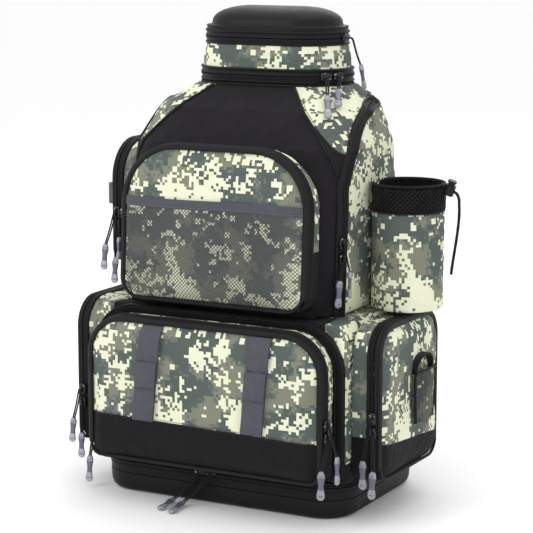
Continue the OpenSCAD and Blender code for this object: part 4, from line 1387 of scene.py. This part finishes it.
def make_mesh_pocket():
    face = Surface(FLAPS["upper_flap"])
    into = -PANEL.out
    inside = (-104.5, 104.5, 7.5, 103.5)
    pitch, corner, height = 2.8, 17.0, 27.0
    piece = Piece("mesh_pocket_net")

    def held(u, v):
        """Whether a place lies on the pocket, whose lower corners are round."""
        if not (inside[0] <= u <= inside[1] and inside[2] <= v <= inside[3]):
            return False
        cu, cv = abs(u) - (inside[1] - corner), (inside[2] + corner) - v
        return not (cu > 0 and cv > 0 and math.hypot(cu, cv) > corner)

    for slant in (1, -1):
        for start in np.arange(-210, 212, pitch * math.sqrt(2)):
            run = [(start + slant * t, inside[2] + t) for t in np.arange(0, 97, 3.6)]
            run = [(u, v) for u, v in run if held(u, v)]
            if len(run) < 3:
                continue
            uv = np.array(run)
            path = PANEL.at(uv[:, 0], uv[:, 1], height)
            bow = 0.9 + 0.5 * np.sin(uv[:, 0] / 23.0) + 0.4 * slant
            path = face.under(path, into)[0] + np.multiply.outer(bow, PANEL.out)
            piece.add(tube(path, 0.36, 4), "net")
    piece.ride("upper_flap", "grey_mesh", "mesh_pocket")
    trim = Piece("mesh_pocket_binding")
    u = np.linspace(-105, 105, 70)
    line = PANEL.at(u, 107.5 + 0.8 * np.sin(u / 31), height)
    lines = laid_strip(trim, face, line, PANEL.up, into, 10, 2.0, "webbing", 5)
    stitches(trim, lines[1] + PANEL.out * 2.1, PANEL.out, "pale_thread")
    trim.ride("upper_flap", "grey_mesh")


def make_seams():
    """Piping and stitching on the front panel and the shells."""
    panel = Piece("front_panel_seams")
    for s in (-1, 1):
        z = np.linspace(SHOULDER_LOW_Z + 8, SHOULDER_TOP_Z + 1, 40)
        x = s * (SHOULDER_TOP_X + SHOULDER_SLOPE * (SHOULDER_TOP_Z - z))
        flat = onto_shell(np.column_stack([x, np.interp(z, HEIGHTS, SECTIONS[1]), z]))[0]
        zip_y, zip_z = zip(*MAIN_ZIP[:6])
        flat = flat[flat[:, 1] < np.interp(flat[:, 2], zip_z, zip_y) - 9]
        path, outward = onto_shell(flat, 0.9)
        panel.add(tube(path, 1.35), "strap")
        across = np.cross(unit(np.gradient(path, axis=0)), outward) * s
        row, way = onto_shell((path + across * 3.0)[path[:, 2] < 426], 0.9)
        stitches(panel, row, way)
    neck = even_spread(*case_outline(1.2), 2.0, closed=True)[0]
    panel.add(tube(np.column_stack([neck, np.full(len(neck), 439.2)]), 1.3, closed=True), "strap")
    panel.ride("front_panel", "black_fabric")
    pack = Piece("pack_seams")
    for s in (-1, 1):
        pack.add(tube([(s * 149.5, y, 190) for y in np.linspace(-90, 76, 60)], 1.2), "strap")
    pack.ride("pack", "black_fabric")


# ---------------------------------------------------------------- back, handle and small parts

BACK = Place((0, 102, 0), ASIDE, UP, -AHEAD)
BACK_EDGE = (-88, 88, 56, 388, 14, 14)  # the back panel's outline, as pocket_outline takes it
# The shoulder straps' middle lines: at each height, the distance aside and the depth
STRAP_Z = (170, 220, 280, 340, 385, 402)
STRAP_X, STRAP_Y = (86, 80, 70, 58, 50, 46), (126, 140, 148, 146, 134, 116)


def make_back():
    padded_part("back_pad", "back_pads", "pack", "spacer_mesh", "spacer", BACK, 4.0, 0.4, 61)
    straps = remeshed("shoulder_straps", "shoulder_strap_pads", 3.6)
    plump(straps, 3.0, 1.4, lambda p: np.ones(len(p)))
    refined(straps)
    points = coords(straps.data)
    x, y, z = points.T
    across = (np.abs(x) - np.interp(z, STRAP_Z, STRAP_X)) / np.interp(z, (170, 340, 400), (22, 32, 24))
    points[:, 1] += np.clip(1 - across ** 2, 0, 1) * 1.2 * np.sign(y - np.interp(z, STRAP_Z, STRAP_Y))
    set_coords(straps.data, points + ripple(points, 22, 63)[:, None] * 0.25)
    dress(straps, "spacer", "pack", "spacer_mesh", "shoulder_straps")
    trim = Piece("shoulder_strap_webbing")
    face = Surface(straps)
    lane_x, lane_z = (86, 80, 70, 59, 52), (176, 220, 280, 340, 382)
    for s in (-1, 1):
        line = smooth_path([(s * x, 160, z) for x, z in zip(lane_x[::-1], lane_z[::-1])], 5)
        laid_strip(trim, face, line, ASIDE, AHEAD, 24, 1.5, "strap")
        for z in (366, 330, 262, 226):
            x = s * np.interp(z, lane_z, lane_x)
            row = face.under([(x + t, 160, z) for t in np.linspace(-11, 11, 20)], AHEAD)[0]
            stitches(trim, row + (0, 1.8, 0), -AHEAD, "pale_thread", 2.2, 1.5, 0)
    trim.ride("pack", "black_webbing")


def make_back_cover():
    """The knitted cloth that covers the stiffener behind the pads."""
    rings = []
    for grow, height in ((1.0, -1.8), (1.8, -1.2), (1.9, -0.4), (1.2, 0.5), (-2, 1.0), (-6, 1.1)):
        edge = [size + way * grow for size, way in zip(BACK_EDGE, (-1, 1, -1, 1, 1, 1))]
        points, _ = ring_pick(*pocket_outline(edge), 240, 4.0)
        rings.append(BACK.at(points[:, 0], points[:, 1], height))
    cover = Piece("back_panel_cover").add(loft(rings), "spacer")
    seam = rings[3] + (0, 0.6, 0)
    cover.add(tube(seam[::2], 1.3, closed=True), "strap")
    cover.ride("pack", "spacer_mesh")


def make_small_parts():
    """Gives the CAD nodes that stay in view their materials and soft edges."""
    for node_name, look, slot, bevel in (
            ("divider_shelf", "black", "black_fabric", 1.0), ("frame_sheet", "sheet", "stiffener", 0.4),
            ("ladder_locks", "plastic", "moulded_plastic", 0.6),
            ("cord_lock", "plastic", "moulded_plastic", 0.8),
            ("cord_lock_button", "plastic", "moulded_plastic", 0.6),
            ("rod_loop", "webbing", "grey_webbing", 0.5),
            ("carry_handle", "strap", "black_webbing", 1.0)):
        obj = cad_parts[node_name]
        obj.data.materials.clear()
        obj.data.materials.append(LOOKS[look])
        edges = obj.modifiers.new("edges", "BEVEL")
        edges.width, edges.segments, edges.limit_method = bevel * MM, 2, "ANGLE"


SHEATH_Y = 6  # the plier sheath's middle


def narrowed(y, z):
    """A depth on the plier sheath, whose sides come closer to its middle towards its foot."""
    return y + (SHEATH_Y - y) * np.interp(z, (92, 146), (0.12, 0.0))


def make_plier_sheath():
    """An open sheath with a printed face and bound edges, and the stay strap that arches over its mouth."""
    made = remeshed("plier_sheath", "plier_sheath_cloth", 1.1)
    work = bmesh.new()
    work.from_mesh(made.data)
    bmesh.ops.delete(work, geom=[v for v in work.verts if v.co.z > 148 * MM], context="VERTS")
    work.to_mesh(made.data)
    work.free()
    points = coords(made.data)
    belly = np.clip((points[:, 0] - 183) / 9, 0, 1)
    belly = belly * np.cos(np.clip((points[:, 1] - SHEATH_Y) / 25, -1, 1) * 1.4)
    shape = belly * 1.6 - 1.5 * (1 - belly) * np.clip((points[:, 0] - 186) / 7, 0, 1)
    points[:, 0] += shape + ripple(points, 15, 71) * 0.3 * (points[:, 0] > 184)
    points[:, 1] = narrowed(points[:, 1], points[:, 2])
    set_coords(made.data, points)
    dress(made, "sheath", "side_flap_right", "camo_fabric", "plier_sheath")
    trim = Piece("plier_sheath_binding")
    for y in (-18.3, 30.3):
        z = np.linspace(92.5, 146, 24)
        trim.add(tube(np.column_stack([np.full(24, 191.6), narrowed(y, z), z]), 1.7), "strap")
    y = np.linspace(-18.5, 30.5, 30)
    mouth = np.column_stack([192.6 + 1.3 * np.cos((y - SHEATH_Y) / 25 * 1.4), y, np.full(30, 146.2)])
    trim.add(tube(mouth, 1.4), "strap")
    turn = np.linspace(0, math.pi, 26)
    arch_line = np.column_stack([187.5 + 2.5 * np.sin(turn), SHEATH_Y - 21 * np.cos(turn),
                                 145 + 19 * np.sin(turn) ** 0.8])
    trim.add(sweep(arch_line, unit(arch_line - (187, SHEATH_Y, 140)), ASIDE,
                   [(-4.6, -0.9), (-4.6, 0.5), (-4, 0.9), (4, 0.9), (4.6, 0.5), (4.6, -0.9)]), "strap")
    trim.ride("side_flap_right", "black_webbing")


# The drawcord's free end, from the lock down
TAIL = ((216, 20, 334.1), (218.6, 19.9, 332.7), (220.6, 19.7, 330), (221.9, 19.4, 326), (222.2, 19, 321),
        (222.6, 18.6, 315), (222.6, 18.2, 308), (222.2, 17.8, 301), (221.6, 17.4, 294), (220.8, 17.1, 287),
        (219.9, 16.8, 280), (218.9, 16.6, 273), (217.9, 16.4, 266), (216.9, 16.3, 259), (216, 16.2, 252),
        (215.6, 16.2, 248))


def make_drawcord():
    """The drawcord's free end: a braided cord that leaves the lock and hangs beside the sleeve."""
    path = smooth_path(TAIL, 1.6)
    piece = Piece("drawcord")
    far = np.r_[0, np.cumsum(np.linalg.norm(np.diff(path, axis=0), axis=1))]
    radius = 1.55 + 0.06 * np.sin(far * 3.1)
    radius[-1] = 1.2
    piece.add(tube(path, radius, 12), "braid")
    made = piece.ride("pack", "cord", "drawcord_tail")


# ---------------------------------------------------------------- fabric across the hinges

WEB_HALF = 0.4  # half the thickness of a hinge's cloth


def hinge_web(name, rows, look="black"):
    """A strip of cloth between two bodies. rows are lines of points that run from body a to body b."""
    grid = np.asarray(rows, float)
    up = unit(np.cross(np.gradient(grid, axis=0), np.gradient(grid, axis=1)))
    rings = [np.vstack([row + u * WEB_HALF, (row - u * WEB_HALF)[::-1]]) for row, u in zip(grid, up)]
    made = Piece(name).add(loft(rings), look).made()
    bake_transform(made)


def between(p, q):
    """A row of places in a straight line."""
    return np.linspace(p, q, 40)


def span(x0, x1, places):
    """Rows across the pack between two x's at (y, z) places."""
    return [between((x0, y, z), (x1, y, z)) for y, z in places]


def make_hinge_webs():
    points, ways = even_spread(*plan_outline(0.8), 2.5, closed=True)
    order = one_run(points[:, 1] > BASE_ZIP_STOP - 4)
    points, ways = points[order], ways[order]
    hinge_web("base_hinge_cloth",
              [np.column_stack([points - ways * dip, np.full(len(points), z)]) for z, dip in (
                  (28, 1.4), (29.8, 0.4), (31.5, 0.9), (33.4, 1.6), (35, 2.0), (36.6, 1.6), (38.6, 0.9),
                  (40.6, 0.4), (42.5, 0.6))])
    hinge_web("tray_door_hinge_cloth",
              span(-128, 128, [(-98.3, 42), (-99.2, 43.2), (-101.2, 43.6), (-101.6, 45.5), (-101.8, 48)]))
    hinge_web("front_flap_hinge_cloth",
              span(-122, 122, [(y, 44.9) for y in (-119, -121, -123, -124.2, -125.6, -127, -129)]))
    for name, x0, x1 in (("right", 40, 108), ("left", -108, -40)):
        hinge_web("front_panel_hinge_cloth_" + name,
                  span(x0, x1, [(-84, 210.9), (-86.5, 210), (-88, 209.2), (-89.5, 210.5), (-90.5, 213.5),
                                (-91, 217)]))
    hinge_web("upper_flap_hinge_cloth",
              [between(PANEL.at(-84, 2.9, h), PANEL.at(84, 2.9, h))
               for h in (15, 16.5, 18, 19.2, 20.6, 22.4, 24)])
    for side, s in (("right", 1), ("left", -1)):
        hinge_web("side_hinge_cloth_" + side,
                  [between((s * x, -60, 41.8), (s * x, 38, 41.8))
                   for x in (171, 172.6, 174, 175.2, 176.6, 178.2, 180)])
    hinge_web("upper_side_hinge_cloth",
              [between((-x, -28, 239.8), (-x, 42, 239.8))
               for x in (148, 149.6, 151, 152.2, 153.6, 155.2, 157)])
    hinge_web("case_hinge_cloth",
              span(-30, 30, [(90.5, z) for z in (440, 444, 447, CASE_ZIP_Z, 451, 454, 458)]))
    hinge_web("dome_hinge_cloth",
              span(-30, 30, [(90.5, z) for z in (479, 483, 486, DOME_ZIP_Z, 490, 493, 497)]))


# ---------------------------------------------------------------- build

make_camera()
make_studio()
make_looks()
make_drawcord()
make_gussets()
make_flaps()
make_pocket_zips()
make_body_zips()
make_shells()
make_dome()
make_base()
make_bottle_sleeve()
make_sliders()
make_front_trims()
make_mesh_pocket()
make_seams()
make_back()
make_back_cover()
make_small_parts()
make_plier_sheath()
make_hinge_webs()

bpy.context.view_layer.update()
